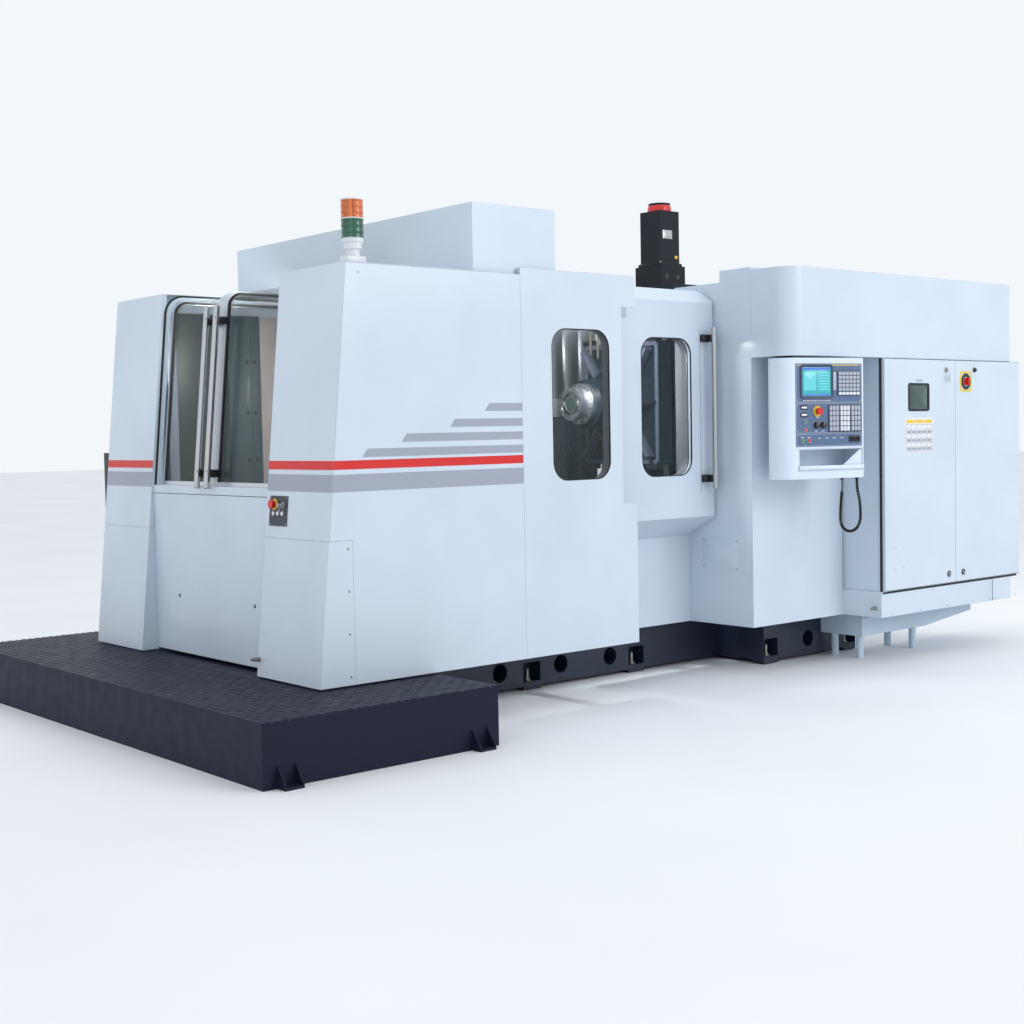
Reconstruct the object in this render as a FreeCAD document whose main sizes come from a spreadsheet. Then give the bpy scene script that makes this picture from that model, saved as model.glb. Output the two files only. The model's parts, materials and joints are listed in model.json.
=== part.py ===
import FreeCAD, Part
import math
import os
import re
import Sketcher

# Horizontal machining centre with a pallet loading station, in millimetres.
# Places along the length are counted from the casings' foot at the loading end, places across from the
# front panel's outer face, and heights from the floor.  The origin is on the floor, under the bed.
SIZES = {
    # casings
    "reach_left": 2300, "half_depth": 1140, "casing_low": 280, "casing_top": 2175, "lean_run": 186,
    "skin": 3, "fold": 25, "base_fold": 20, "seam": 0.8, "seat_gap": 0.3,
    # loading end
    "seam_height": 932, "end_width": 545, "wrap": 190, "apron_back": 95, "roof_back": 940,
    "sill_low": 1118, "sill_top": 1160, "sill_depth": 130, "end_flange": 25,
    # loading doors
    "leaf_offset": 45, "leaf_thick": 30, "leaf_drop": 35, "leaf_radius": 80, "leaf_width": 598,
    "leaf_gap": 3, "leaf_stile": 40, "leaf_glass": 6, "grip_radius": 16, "grip_stand": 60,
    "grip_low": 1190, "grip_length": 900, "grip_inset": 48,
    # long sides
    "front_length": 1209, "window_panel_length": 787, "panel_rise": 30, "far_length": 2810,
    "window_margin": 199, "window_width": 399, "window_sill": 1153, "window_height": 765,
    "window_radius": 95, "pane": 6, "pane_lap": 20,
    "notch_low": 1020, "notch_top": 2040, "notch_depth": 100,
    # operator door
    "door_face": 170, "door_thick": 25, "door_left": 2060, "door_right": 2805, "door_low": 905,
    "door_drop": 65, "crown_rise": 75, "crown_run": 80, "skirt_run": 215, "skirt_drop": 120,
    "door_window_left": 2210, "door_window_sill": 1142, "crown_radius": 85, "door_soft": 20,
    "pull_radius": 17, "pull_low": 1060, "pull_high": 1970, "pull_place": 2735, "pull_stand": 60,
    "rail_place": 262, "rail_thick": 12, "rail_drop": 135, "hanger_half": 200, "hanger_place": 2430,
    # roof
    "house_end": 1470, "house_front": 30, "house_rise": 333,
    "crown_slot": 12, "door_travel": 700,
    # control corner
    "block_place": 2810, "block_front": 94, "block_end": 3620, "block_rise": 115, "block_step": 66,
    "block_step_place": 131, "block_wall_back": 480, "header_front": 374, "header_low": 1790,
    "header_top": 2275, "header_end": 4986, "header_radius": 120,
    # electrical cabinet
    "cabinet_left": 3632, "cabinet_end": 5071, "cabinet_low": 430, "cabinet_face": 370,
    "plinth_left": 3620, "plinth_end": 5000, "door_split": 4350, "door_proud": 20, "door_foot": 438,
    "door_head": 1785, "latch_height": 484, "latch_radius": 11, "latch_inset": 72, "latch_length": 14,
    "lock_height": 1727, "lock_inset": 96, "isolator_place": 4466, "isolator_height": 1660,
    "isolator_radius": 24, "hinge_radius": 2.5, "hinge_back": 8, "hinge_lug": 7,
    "cooler_depth": 78, "cooler_front": 320, "cooler_width": 400, "cooler_low": 896,
    "cooler_height": 880,
    # pendant
    "swivel_place": 2890, "swivel_front": 268, "swivel_angle": 15, "pendant_radius": 92,
    "pendant_length": 462, "pendant_top": 1778, "pendant_low": 1113, "panel_low": 1291,
    "panel_height": 455, "panel_width": 449, "panel_plate": 6, "swivel_radius": 30, "swivel_rise": 80,
    "shell_wall": 8, "tray_inner": 24, "tray_floor": 1165, "tray_ceiling": 1275, "tray_depth": 150,
    "fit": 0.05, "button_gap": 0.4, "button_radius": 8, "button_out": 7, "button_in": 14,
    "cap_radius": 20, "stem_radius": 11, "cap_thick": 14, "cap_stand": 12, "dial_radius": 16,
    "dial_stand": 16, "lead_radius": 9, "lead_plane": 60,
    # station plate
    "plate_place": 357, "plate_width": 155, "plate_low": 988, "plate_height": 140, "plate_thick": 3,
    "plate_margin": 12, "button_row": 58, "key_radius": 10,
    # bed
    "bed_start": 150, "bed_end": 3190, "bed_half": 610, "bed_top": 600, "foot_height": 20,
    "base_end": 4076, "base_half": 985, "flange_height": 45, "pocket_width": 125, "pocket_height": 105,
    "pocket_depth": 85, "bed_wall": 95, "bed_deck": 60, "cell_rib": 60, "anchor_radius": 11,
    "anchor_inset": 40, "core_radius": 50, "core_height": 115, "core_depth": 97, "way_half": 300,
    "way_width": 50, "way_height": 40, "arm_width": 60,
    "arm_height": 55, "pad_size": 150,
    # platform
    "step_start": 560, "step_end": 655, "step_front": 440, "step_height": 272, "step_plate": 6,
    "step_gap": 0.3, "jack_width": 90, "jack_height": 100, "jack_depth": 60, "jack_inset": 110,
    # moving column and headstock
    "column_place": 3150, "column_depth": 550, "column_half": 330, "column_low": 700,
    "column_top": 2299, "column_reach": 350, "shaft_half": 190, "shaft_depth": 300, "shaft_low": 760,
    "shaft_top": 2200,
    "rail_half": 278, "rail_width": 45, "rail_height": 30, "carriage_thick": 109, "carriage_half": 380,
    "spindle_height": 1568, "housing_radius": 150, "housing_place": 2700, "spindle_nose": 2576,
    "nose_radius": 100, "nose_length": 74, "flange_radius": 125, "shank_radius": 60,
    "shank_length": 300, "taper_radius": 44, "taper_end": 30, "taper_depth": 100, "rib_thick": 20,
    "drive_radius": 130, "drive_length": 230,
    "motor_place": 3380, "adapter_half": 112, "adapter_top": 2440, "motor_half": 87, "motor_top": 2790,
    "cap_top": 2844, "motor_cap_radius": 70,
    # table and pallets
    "table_place": 2000, "saddle_length": 640, "saddle_half": 350, "saddle_top": 855, "neck_radius": 160,
    "pallet_size": 500, "pallet_thick": 52, "pallet_level": 1000, "pallet_edge": 12,
    "hole_radius": 7, "hole_depth": 30, "outer_grid": 400, "inner_grid": 200,
    "turn_place": 1000, "turn_reach": 440, "post_radius": 90, "post_top": 860, "tine_inner": 200,
    "tine_width": 60, "tine_low": 870, "tine_top": 935, "tine_reach": 690, "cross_half": 200,
    "screen_half": 540, "screen_top": 1900, "screen_thick": 16,
    # magazine
    "drum_place": 2300, "drum_thick": 60, "drum_radius": 260, "drum_across": 1900, "drum_height": 1750,
    "pocket_count": 24, "pocket_radius": 24, "pocket_circle": 228, "pocket_length": 110,
    "drum_shaft": 30, "bracket_half": 45, "bracket_length": 85,
    # small casings
    "tower_place": 272, "tower_across": 60, "tower_box": 90, "tower_box_height": 40,
    "tower_neck": 20, "tower_neck_rise": 63, "tower_radius": 53, "tower_rise": 290,
    "tank_start": 3730, "tank_end": 4890, "tank_front": 150, "tank_low": 140,
    "tank_top": 279.7, "tank_leg": 22, "side_box_start": 30, "side_box_end": 200,
    "side_box_depth": 110, "side_box_low": 1002, "side_box_top": 1330, "lug_low": 905, "lug_width": 60,
}
X, Y, Z = "X", "Y", "Z"
NODES = {}

doc = FreeCAD.newDocument("machining_centre")
sheet = doc.addObject("Spreadsheet::Sheet", "Sizes")
for row, (name, number) in enumerate(SIZES.items(), start=1):
    sheet.set(f"A{row}", name)
    sheet.set(f"B{row}", str(number))
    sheet.setAlias(f"B{row}", name)
doc.recompute()


def size(name):
    """A value of the sheet, as a number."""
    return float(sheet.get(name))


def cell(text):
    """An expression with each sheet name turned into a reference to the sheet."""
    return re.sub(r"[a-z_]+", lambda hit: f"Sizes.{hit[0]}" if hit[0] in SIZES else hit[0], str(text))


def along(text):
    """A place along the length, from the loading end's foot, as a row coordinate."""
    return f"({text}) - reach_left"


def across(text):
    """A place behind the front panel's outer face, as a row coordinate."""
    return f"({text}) - half_depth"


def mirrored(text):
    """The place across that mirrors another in the long centre line."""
    return f"2 * half_depth - ({text})"


def leaning(height, offset="0"):
    """Where the leaning end faces stand at a height, moved inwards by an offset."""
    return f"lean_run * ({height} - casing_low) / (casing_top - casing_low) + ({offset})"


LEAN = "atan(lean_run / (casing_top - casing_low))"
ROOF = "casing_top - skin"
DOOR_TOP = "casing_top - door_drop"
BLOCK_TOP = "casing_top + block_rise"
LEAF_TOP = "casing_top - leaf_drop"


def bind(obj, values):
    """Tie properties to expressions of the sheet."""
    for name, text in values.items():
        obj.setExpression(name, cell(text))


def node(label, obj):
    """Name a finished piece."""
    obj.Label = label
    NODES[label] = obj
    return obj


def block(x, y, z, raw=False):
    """A box between two places along the length, two across and two heights."""
    box = doc.addObject("Part::Box", "box")
    shift_x, shift_y = (str, str) if raw else (along, across)
    bind(box, {
        "Length": f"({x[1]}) - ({x[0]})",
        "Width": f"({y[1]}) - ({y[0]})",
        "Height": f"({z[1]}) - ({z[0]})",
        "Placement.Base.x": shift_x(x[0]),
        "Placement.Base.y": shift_y(y[0]),
        "Placement.Base.z": z[0],
    })
    return box


TURNS = {
    X: FreeCAD.Rotation(FreeCAD.Vector(0, 1, 0), 90),
    Y: FreeCAD.Rotation(FreeCAD.Vector(1, 0, 0), -90),
    Z: FreeCAD.Rotation(),
}


def rod(axis, x, y, z, radius, length, raw=False, top=None):
    """A cylinder, or a cone where a top radius is given, that starts at a point and runs along an axis."""
    kind = "Part::Cylinder" if top is None else "Part::Cone"
    bar = doc.addObject(kind, "rod")
    bar.Placement = FreeCAD.Placement(FreeCAD.Vector(), TURNS[axis])
    shift_x, shift_y = (str, str) if raw else (along, across)
    values = {
        "Height": length,
        "Placement.Base.x": shift_x(x),
        "Placement.Base.y": shift_y(y),
        "Placement.Base.z": z,
    }
    values.update({"Radius": radius} if top is None else {"Radius1": radius, "Radius2": top})
    bind(bar, values)
    return bar


def prism(plane, points, low, high):
    """A PartDesign body padded from a closed outline of points in a plane, between two places along
    the plane's normal."""
    body = doc.addObject("PartDesign::Body", "body")
    outline = body.newObject("Sketcher::SketchObject", "outline")
    support = next(o for o in body.Origin.OriginFeatures if o.Role == f"{plane}_Plane")
    outline.AttachmentSupport = [(support, "")]
    outline.MapMode = "FlatFace"
    count = len(points)
    rough = [FreeCAD.Vector(math.cos(2 * math.pi * i / count), math.sin(2 * math.pi * i / count), 0)
             for i in range(count)]
    for i in range(count):
        outline.addGeometry(Part.LineSegment(rough[i], rough[(i + 1) % count]))
    for i in range(count):
        outline.addConstraint(Sketcher.Constraint("Coincident", i, 2, (i + 1) % count, 1))
    first, second = {"XY": (along, across), "XZ": (along, str), "YZ": (across, str)}[plane]
    for i, (a, b) in enumerate(points):
        for kind, rough_value, text in (("DistanceX", rough[i].x, first(a)),
                                        ("DistanceY", rough[i].y, second(b))):
            index = outline.addConstraint(Sketcher.Constraint(kind, -1, 1, i, 1, rough_value))
            outline.setExpression(f"Constraints[{index}]", cell(text))
    start = {"XY": low, "XZ": f"-({across(high)})", "YZ": along(low)}[plane]
    outline.setExpression(".AttachmentOffset.Base.z", cell(start))
    pad = body.newObject("PartDesign::Pad", "pad")
    pad.Profile = outline
    pad.setExpression("Length", cell(f"({high}) - ({low})"))
    return body


def joined(*pieces):
    """Several pieces as one solid."""
    fuse = doc.addObject("Part::MultiFuse", "fuse")
    fuse.Shapes = list(pieces)
    fuse.Refine = True
    return fuse


def without(base, *tools):
    """A piece with others cut out of it."""
    cut = doc.addObject("Part::Cut", "cut")
    cut.Base = base
    cut.Tool = tools[0] if len(tools) == 1 else joined(*tools)
    return cut


def shared(base, tool):
    """What two pieces have in common."""
    common = doc.addObject("Part::Common", "common")
    common.Base = base
    common.Tool = tool
    return common


def rounded(base, radius, direction, choose=lambda middle: True):
    """A piece with its straight edges along a direction rounded, where their middle is chosen."""
    doc.recompute()
    chosen = []
    for index, edge in enumerate(base.Shape.Edges, start=1):
        tangent = edge.tangentAt(edge.FirstParameter)
        straight = edge.Curve.TypeId == "Part::GeomLine"
        if straight and abs(tangent.dot(direction)) > 0.9999 and choose(edge.CenterOfMass):
            chosen.append((index, size(radius), size(radius)))
    fillet = doc.addObject("Part::Fillet", "fillet")
    fillet.Base = base
    fillet.Edges = chosen
    return fillet


def placed(obj, x, y, z, axis, angle):
    """Turn a piece modelled about its own origin, and move it to its place."""
    whole = doc.addObject("Part::Compound", "whole")
    whole.Links = [obj]
    whole.Placement = FreeCAD.Placement(FreeCAD.Vector(), FreeCAD.Rotation(axis, 1))
    bind(whole, {
        "Placement.Rotation.Angle": angle,
        "Placement.Base.x": along(x),
        "Placement.Base.y": across(y),
        "Placement.Base.z": z,
    })
    return whole


AXIS_X, AXIS_Y, AXIS_Z = FreeCAD.Vector(1, 0, 0), FreeCAD.Vector(0, 1, 0), FreeCAD.Vector(0, 0, 1)


# ------------------------------------------------------------------ bed and platform
def bed_casting():
    """The T-shaped bed: main bed, cross base, outriggers for the casings, ways, foot pads and pockets."""
    middle = "half_depth"
    parts = [
        block(("bed_start", "bed_end + 1"), (f"{middle} - bed_half", f"{middle} + bed_half"),
              ("foot_height", "bed_top")),
        block(("bed_end", "base_end"), (f"{middle} - base_half", f"{middle} + base_half"),
              ("foot_height", "bed_top")),
    ]
    inner = "skin + seat_gap"
    stepped = f"door_face + skirt_run + {inner}"
    for start, near_end in (("wrap + 210", inner), ("roof_back + 60", inner),
                            ("front_length + 451", inner), ("block_place - 180", stepped)):
        parts.append(block((start, f"{start} + arm_width"), (near_end, mirrored(inner)),
                           ("casing_low + skin + seat_gap", "casing_low + skin + seat_gap + arm_height")))
    for side in (-1, 1):
        way = f"{middle} + {side} * way_half"
        parts.append(block(("bed_start + 900", "bed_end - 150"),
                           (f"{way} - way_width / 2", f"{way} + way_width / 2"),
                           ("bed_top - 1", "bed_top + way_height")))
        cross = f"column_place + column_depth / 2 + {side} * 180"
        parts.append(block((f"{cross} - way_width / 2", f"{cross} + way_width / 2"),
                           (f"{middle} - base_half + 40", f"{middle} + base_half - 40"),
                           ("bed_top - 1", "bed_top + way_height")))
    feet, holes = [], []
    bed_feet = [("bed_start + 550", "bed_half"), ("bed_start + 1547", "bed_half"),
                ("bed_end - 690", "bed_half"), ("bed_end + 65", "base_half"), ("base_end - 65", "base_half")]
    for place, half in bed_feet:
        for side in (-1, 1):
            face = f"{middle} + {side} * {half}"
            inset = f"{face} - {side} * anchor_inset"
            feet.append(block((f"{place} - pocket_width / 2", f"{place} + pocket_width / 2"),
                              (f"{inset} - anchor_inset", f"{inset} + anchor_inset"),
                              ("0", "foot_height + 1")))
            low = face if side < 0 else f"{face} - pocket_depth"
            holes.append(block((f"{place} - pocket_width / 2", f"{place} + pocket_width / 2"),
                               (f"{low} - 1" if side < 0 else low, f"{low} + pocket_depth + 1"),
                               ("flange_height", "flange_height + pocket_height")))
            holes.append(rod(Z, place, inset, "-1", "anchor_radius", "flange_height + 2"))
    feet.append(block(("reach_left - pad_size", "reach_left + pad_size"),
                      (f"{middle} - pad_size", f"{middle} + pad_size"), ("0", "foot_height + 1")))
    cores = [("bed_start + 1321", "bed_half"), ("bed_start + 1761", "bed_half"),
             ("bed_start + 2139", "bed_half"), ("bed_end + 413", "base_half")]
    for place, half in cores:
        holes.append(rod(Y, place, f"{middle} - {half} - 1", "core_height", "core_radius", "core_depth + 1"))
        holes.append(rod(Y, place, f"{middle} + {half} - core_depth", "core_height", "core_radius",
                         "core_depth + 1"))
    cells = [("bed_start + bed_wall", "bed_start + 900", "bed_half"),
             ("bed_start + 960", "reach_left - pad_size - 20", "bed_half"),
             ("reach_left + pad_size + 20", "bed_end - cell_rib", "bed_half"),
             ("bed_end + cell_rib", "base_end - bed_wall", "base_half")]
    for start, end, half in cells:
        for side in (-1, 1):
            inside = f"{middle} + {side} * cell_rib / 2"
            outside = f"{middle} + {side} * ({half} - bed_wall)"
            y = (outside, inside) if side < 0 else (inside, outside)
            holes.append(block((start, end), y, ("foot_height - 1", "bed_top - bed_deck")))
    return node("bed_casting", without(joined(*parts, *feet), *holes))


def access_platform():
    """The plate box round the loading end, open below and notched for the bed, with its jack brackets."""
    front, back = "-step_front", mirrored("-step_front")
    shell = without(
        block(("-step_start", "step_end"), (front, back), ("0", "step_height")),
        block(("-step_start + step_plate", "step_end - step_plate"),
              (f"{front} + step_plate", f"{back} - step_plate"), ("-1", "step_height - step_plate")),
        block(("bed_start - step_gap", "step_end + 1"),
              ("half_depth - bed_half - step_gap", "half_depth + bed_half + step_gap"),
              ("-2", "step_height + 1")))
    brackets = []
    for place in ("-step_start + jack_inset", "step_end - jack_inset"):
        for face, sign in ((front, -1), (back, 1)):
            edge = ((f"{face} - jack_depth", f"{face} + 1") if sign < 0
                    else (f"{face} - 1", f"{face} + jack_depth"))
            brackets.append(block((f"{place} - jack_width / 2", f"{place} + jack_width / 2"), edge,
                                  ("0", "step_plate * 2")))
            for rib in (-1, 1):
                cheek = f"{place} + {rib} * (jack_width / 2 - step_plate / 2)"
                tip = f"{face} + {sign} * jack_depth"
                root = f"{face} - {sign}"
                outline = [(root, "1"), (tip, "1"), (tip, "20"), (root, "jack_height")]
                brackets.append(prism("YZ", outline, f"{cheek} - step_plate / 2",
                                      f"{cheek} + step_plate / 2"))
    return node("access_platform", joined(shell, *brackets))


# ------------------------------------------------------------------ loading end
def leaning_sheet(low_height, top_height, thick, sides, offset="0"):
    """A sheet in the leaning end plane between two heights and two places across."""
    outline = [(leaning(low_height, offset), low_height), (leaning(top_height, offset), top_height),
               (leaning(top_height, f"{offset} + {thick}"), top_height),
               (leaning(low_height, f"{offset} + {thick}"), low_height)]
    return prism("XZ", outline, *sides)


def end_casing(label, near):
    """An end column's upper casing: leaning face, roof and the flange beside the doors."""
    sides = ("0", "end_width") if near else (mirrored("end_width"), mirrored("0"))
    edge = (("end_width - skin", "end_width") if near
            else (mirrored("end_width"), mirrored("end_width - skin")))
    face = leaning_sheet("seam_height + seam", "casing_top", "skin", sides)
    roof = block((leaning("casing_top"), "roof_back - seam"), sides, ("casing_top - skin", "casing_top"))
    flange = leaning_sheet("seam_height + seam", "casing_top - skin", "end_flange", edge)
    casing = joined(face, roof, flange)
    if near:
        margin = "plate_margin"
        behind = block(("-skin", "3 * skin"), (margin, f"plate_width - {margin}"),
                       (margin, f"plate_height - {margin}"),
                       raw=True)
        casing = without(casing, on_end_face(behind))
    return node(label, casing)


def end_cover(label, near):
    """An end column's lower cover: leaning face, the wrap round the corner and the cheek by the apron."""
    sides = ("0", "end_width") if near else (mirrored("end_width"), mirrored("0"))
    outer = ("0", "skin") if near else (mirrored("skin"), mirrored("0"))
    cheek = (("end_width - skin", "end_width") if near
             else (mirrored("end_width"), mirrored("end_width - skin")))
    face = leaning_sheet("casing_low", "seam_height", "skin", sides)
    low, top = (leaning("casing_low"), "casing_low"), (leaning("seam_height"), "seam_height")
    wrap = prism("XZ", [low, top, ("wrap", "seam_height"), ("wrap", "casing_low")], *outer)
    inner = prism("XZ", [low, top, ("apron_back + skin", "seam_height"),
                         ("apron_back + skin", "casing_low")], *cheek)
    return node(label, joined(face, wrap, inner))


def station_apron():
    """The upright apron between the end columns, with the sill that the loading doors run on."""
    sides = ("end_width + seam", mirrored("end_width + seam"))
    plate = block(("apron_back", "apron_back + skin"), sides, ("casing_low + 10", "sill_low + 1"))
    sill = block(("apron_back", "apron_back + sill_depth"), sides, ("sill_low", "sill_top"))
    return node("station_apron", joined(plate, sill))


def leaf_sheet(offset, thick, top, sides):
    """The curved section of a loading door: up the leaning plane, round, and back along the roof."""
    foot = "sill_top + seat_gap"
    inner = f"{offset} + {thick}"
    outline = [(leaning(foot, offset), foot), (leaning(top, offset), top), ("roof_back - 40", top),
               ("roof_back - 40", f"{top} - {thick}"), (leaning(f"{top} - {thick}", inner),
                                                        f"{top} - {thick}"),
               (leaning(foot, inner), foot)]
    sheet_body = prism("XZ", outline, *sides)
    limit = size("roof_back") - size("reach_left") - 100
    low = size("casing_top") - size("leaf_drop") - 60
    bend = rounded(sheet_body, "leaf_radius", AXIS_Y, lambda middle: middle.z > low and middle.x < limit)
    return bend


def loading_door(leaf_label, pane_label, near):
    """A loading door leaf: framed curved sheet with its pull tube, and the clear pane in it."""
    meeting = "half_depth + 20"
    if near:
        sides = (f"{meeting} - leaf_gap / 2 - leaf_width", f"{meeting} - leaf_gap / 2")
        grip_place = f"{meeting} - grip_inset"
    else:
        sides = (f"{meeting} + leaf_gap / 2", f"{meeting} + leaf_gap / 2 + leaf_width - 56")
        grip_place = f"{meeting} + grip_inset"
    inside = (f"{sides[0]} + leaf_stile", f"{sides[1]} - leaf_stile")
    span = ("-200", "roof_back - 40 - leaf_stile")
    rise = ("sill_top + leaf_stile", f"{LEAF_TOP} + 50")
    frame = without(leaf_sheet("leaf_offset", "leaf_thick", LEAF_TOP, sides), block(span, inside, rise))
    grip = rod(Z, "0", "0", "0", "grip_radius", "grip_length", raw=True)
    grip = placed(grip, leaning("grip_low", "leaf_offset - grip_stand"), grip_place, "grip_low", AXIS_Y,
                  LEAN)
    stands = []
    for height in ("grip_low + 60", "grip_low + grip_length - 60"):
        stands.append(block((leaning(height, "leaf_offset - grip_stand"),
                             leaning(height, "leaf_offset + 2")),
                            (f"{grip_place} - 12", f"{grip_place} + 12"), (f"{height} - 15",
                                                                           f"{height} + 15")))
    node(leaf_label, joined(frame, grip, *stands))
    gap = "seat_gap"
    middle = "(leaf_thick - leaf_glass) / 2"
    pane = leaf_sheet(f"leaf_offset + {middle}", "leaf_glass", f"{LEAF_TOP} - {middle}", sides)
    window = block(("-200", f"roof_back - 40 - leaf_stile - {gap}"),
                   (f"{inside[0]} + {gap}", f"{inside[1]} - {gap}"),
                   (f"sill_top + leaf_stile + {gap}", f"{LEAF_TOP} + 50"))
    node(pane_label, shared(pane, window))


# ------------------------------------------------------------------ long sides
def tray(x, z, face, sign=1, depth="fold"):
    """A sheet panel with its edges folded back: its outer face, and folds towards the machine."""
    y = (face, f"{face} + {depth}") if sign > 0 else (f"{face} - {depth}", face)
    hollow = ((f"{face} + skin", f"{face} + {depth} + 1") if sign > 0
              else (f"{face} - {depth} - 1", f"{face} - skin"))
    return without(block(x, y, z), block((f"{x[0]} + skin", f"{x[1]} - skin"), hollow,
                                         (f"{z[0]} + skin", f"{z[1]} - skin")))


def long_panel(label, near, length):
    """A long side's panel beside the lower cover, its upper part reaching forward to the leaning end."""
    sides = ("0", "skin") if near else (mirrored("skin"), mirrored("0"))
    start = "wrap + seam"
    shelf = "seam_height + seam"
    clear = "skin + seam"
    outline = [(start, "casing_low"), (start, shelf), (leaning(shelf, clear), shelf),
               (leaning("casing_top", clear), "casing_top - skin - seam"),
               (length, "casing_top - skin - seam"), (length, "casing_low")]
    return node(label, prism("XZ", outline, *sides))


def window_opening(left, sill, y, grow="0"):
    """A tall window shape with large round corners, as a solid to cut with or to keep."""
    shape = block((f"{left} - {grow}", f"{left} + window_width + {grow}"), y,
                  (f"{sill} - {grow}", f"{sill} + window_height + {grow}"))
    return rounded(shape, "window_radius", AXIS_Y)


def window_panel():
    """The fixed panel with a window, cut away at its right for the sliding door, and its pane."""
    start = "front_length + seam"
    end = "front_length + window_panel_length"
    left = "front_length + window_margin"
    panel = tray((start, end), ("casing_low", "casing_top + panel_rise"), "0")
    opening = window_opening(left, "window_sill", ("-1", "fold + 5"))
    notch = block((f"{end} - notch_depth", f"{end} + 1"), ("-1", "fold + 1"), ("notch_low", "notch_top"))
    node("window_panel", without(panel, opening, notch))
    node("window_glass", window_opening(left, "window_sill", ("skin + seat_gap", "skin + seat_gap + pane"),
                                        "pane_lap"))


def base_panel():
    """The stepped-back panel under the sliding door, with the side wall that joins it to the front."""
    end = "front_length + window_panel_length"
    face = "door_face + skirt_run"
    front = tray((f"{end} - skin", "block_place - seat_gap"),
                 ("casing_low", "door_low - skirt_drop - seat_gap"), face, depth="base_fold")
    side = block((f"{end} - skin", end), ("fold + seat_gap", f"{face} + 1"),
                 ("casing_low", "door_low - skirt_drop - 10"))
    return node("base_panel", joined(front, side))


def operator_door():
    """The sliding door: a folded sheet with a crown and a skirt, a window, a hanger, pane and pull."""
    face, low, top = "door_face", "door_low", DOOR_TOP
    thick = "door_thick"
    outline = [
        (f"{face} + skirt_run", f"{low} - skirt_drop"), (face, low), (face, top),
        (f"{face} + crown_run", f"{top} + crown_rise"),
        (f"{face} + crown_run", f"{top} + crown_rise - {thick}"),
        (f"{face} + {thick}", f"{top} - 12"), (f"{face} + {thick}", f"{low} + 14"),
        (f"{face} + skirt_run", f"{low} - skirt_drop + {thick}"),
    ]
    folded = prism("YZ", outline, "door_left", "door_right")
    bend_x, bend_z = "door_right - crown_radius", f"{top} + crown_rise - crown_radius"
    corner = without(block((bend_x, "door_right + 1"), (f"{face} - 1", f"{face} + crown_run + 1"),
                           (bend_z, f"{top} + crown_rise + 1")),
                     rod(Y, bend_x, f"{face} - 2", bend_z, "crown_radius", "crown_run + 4"))
    right, front = size("door_right") - size("reach_left"), size("door_face") - size("half_depth")

    def at_right_edge(middle):
        return middle.x > right - 1 and middle.y < front + 1
    folded = rounded(without(folded, corner), "door_soft", AXIS_Z, at_right_edge)
    opening = window_opening("door_window_left", "door_window_sill",
                             (f"{face} - 5", f"{face} + {thick} + 5"))
    hanger = block(("hanger_place - hanger_half", "hanger_place + hanger_half"),
                   (f"{face} + {thick} - 1", "rail_place - seat_gap"), (f"{top} - 26", f"{top} - 14"))
    node("operator_door", joined(without(folded, opening), hanger))
    back = f"{face} + {thick} + seat_gap"
    node("operator_door_glass", window_opening("door_window_left", "door_window_sill",
                                               (back, f"{back} + pane"),
                                               "pane_lap"))
    tube_place = f"{face} - pull_stand"
    pull = [rod(Z, "pull_place", tube_place, "pull_low", "pull_radius", "pull_high - pull_low")]
    for height in ("pull_low + 60", "pull_high - 60"):
        pull.append(block(("pull_place - 13", "pull_place + 13"), (tube_place, f"{face} - seat_gap"),
                          (f"{height} - 20", f"{height} + 20")))
    node("operator_door_handle", joined(*pull))


def roof_housing():
    """The raised roof box with a slot for the sliding door's crown, the roof sheet behind it, the door's
    rail and the magazine bracket."""
    house_top = f"{ROOF} + house_rise"
    box = without(
        block(("roof_back", "house_end"), ("house_front", mirrored("house_front")), (ROOF, house_top)),
        block(("roof_back + skin", "house_end - skin"),
              ("house_front + skin", mirrored("house_front + skin")),
              (f"{ROOF} - 1", f"{house_top} - skin")))
    rear = block(("house_end - skin", "block_place - seat_gap"), ("rail_place", mirrored("skin + seam")),
                 (f"{ROOF} - skin", ROOF))
    ledge = without(
        block(("roof_back", "house_end"), ("fold + seat_gap", mirrored("skin + seat_gap")),
              (f"{ROOF} - skin", ROOF)),
        block(("roof_back + 40", "house_end - 40"), ("house_front + 40", mirrored("house_front + 40")),
              (f"{ROOF} - skin - 1", f"{ROOF} + 1")))
    rail = block(("front_length + 190", "block_place - seat_gap"), ("rail_place", "rail_place + rail_thick"),
                 ("casing_top - rail_drop", f"{ROOF} - 1"))
    end = "drum_place - seat_gap"
    arm = block((f"{end} - bracket_length", end),
                ("drum_across - bracket_half", "drum_across + bracket_half"),
                ("drum_height - bracket_half", f"{ROOF} - 1"))
    bore = rod(X, f"{end} - bracket_length - 1", "drum_across", "drum_height", "drum_shaft + fit",
               "bracket_length + 2")
    slot = block(("door_left - door_travel - crown_slot", "house_end + 1"),
                 ("door_face - crown_slot", "rail_place - seat_gap"),
                 (f"{ROOF} - skin - 1", f"{DOOR_TOP} + crown_rise + crown_slot"))
    return node("roof_housing", joined(without(joined(box, ledge), slot), rear, rail, without(arm, bore)))


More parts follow.
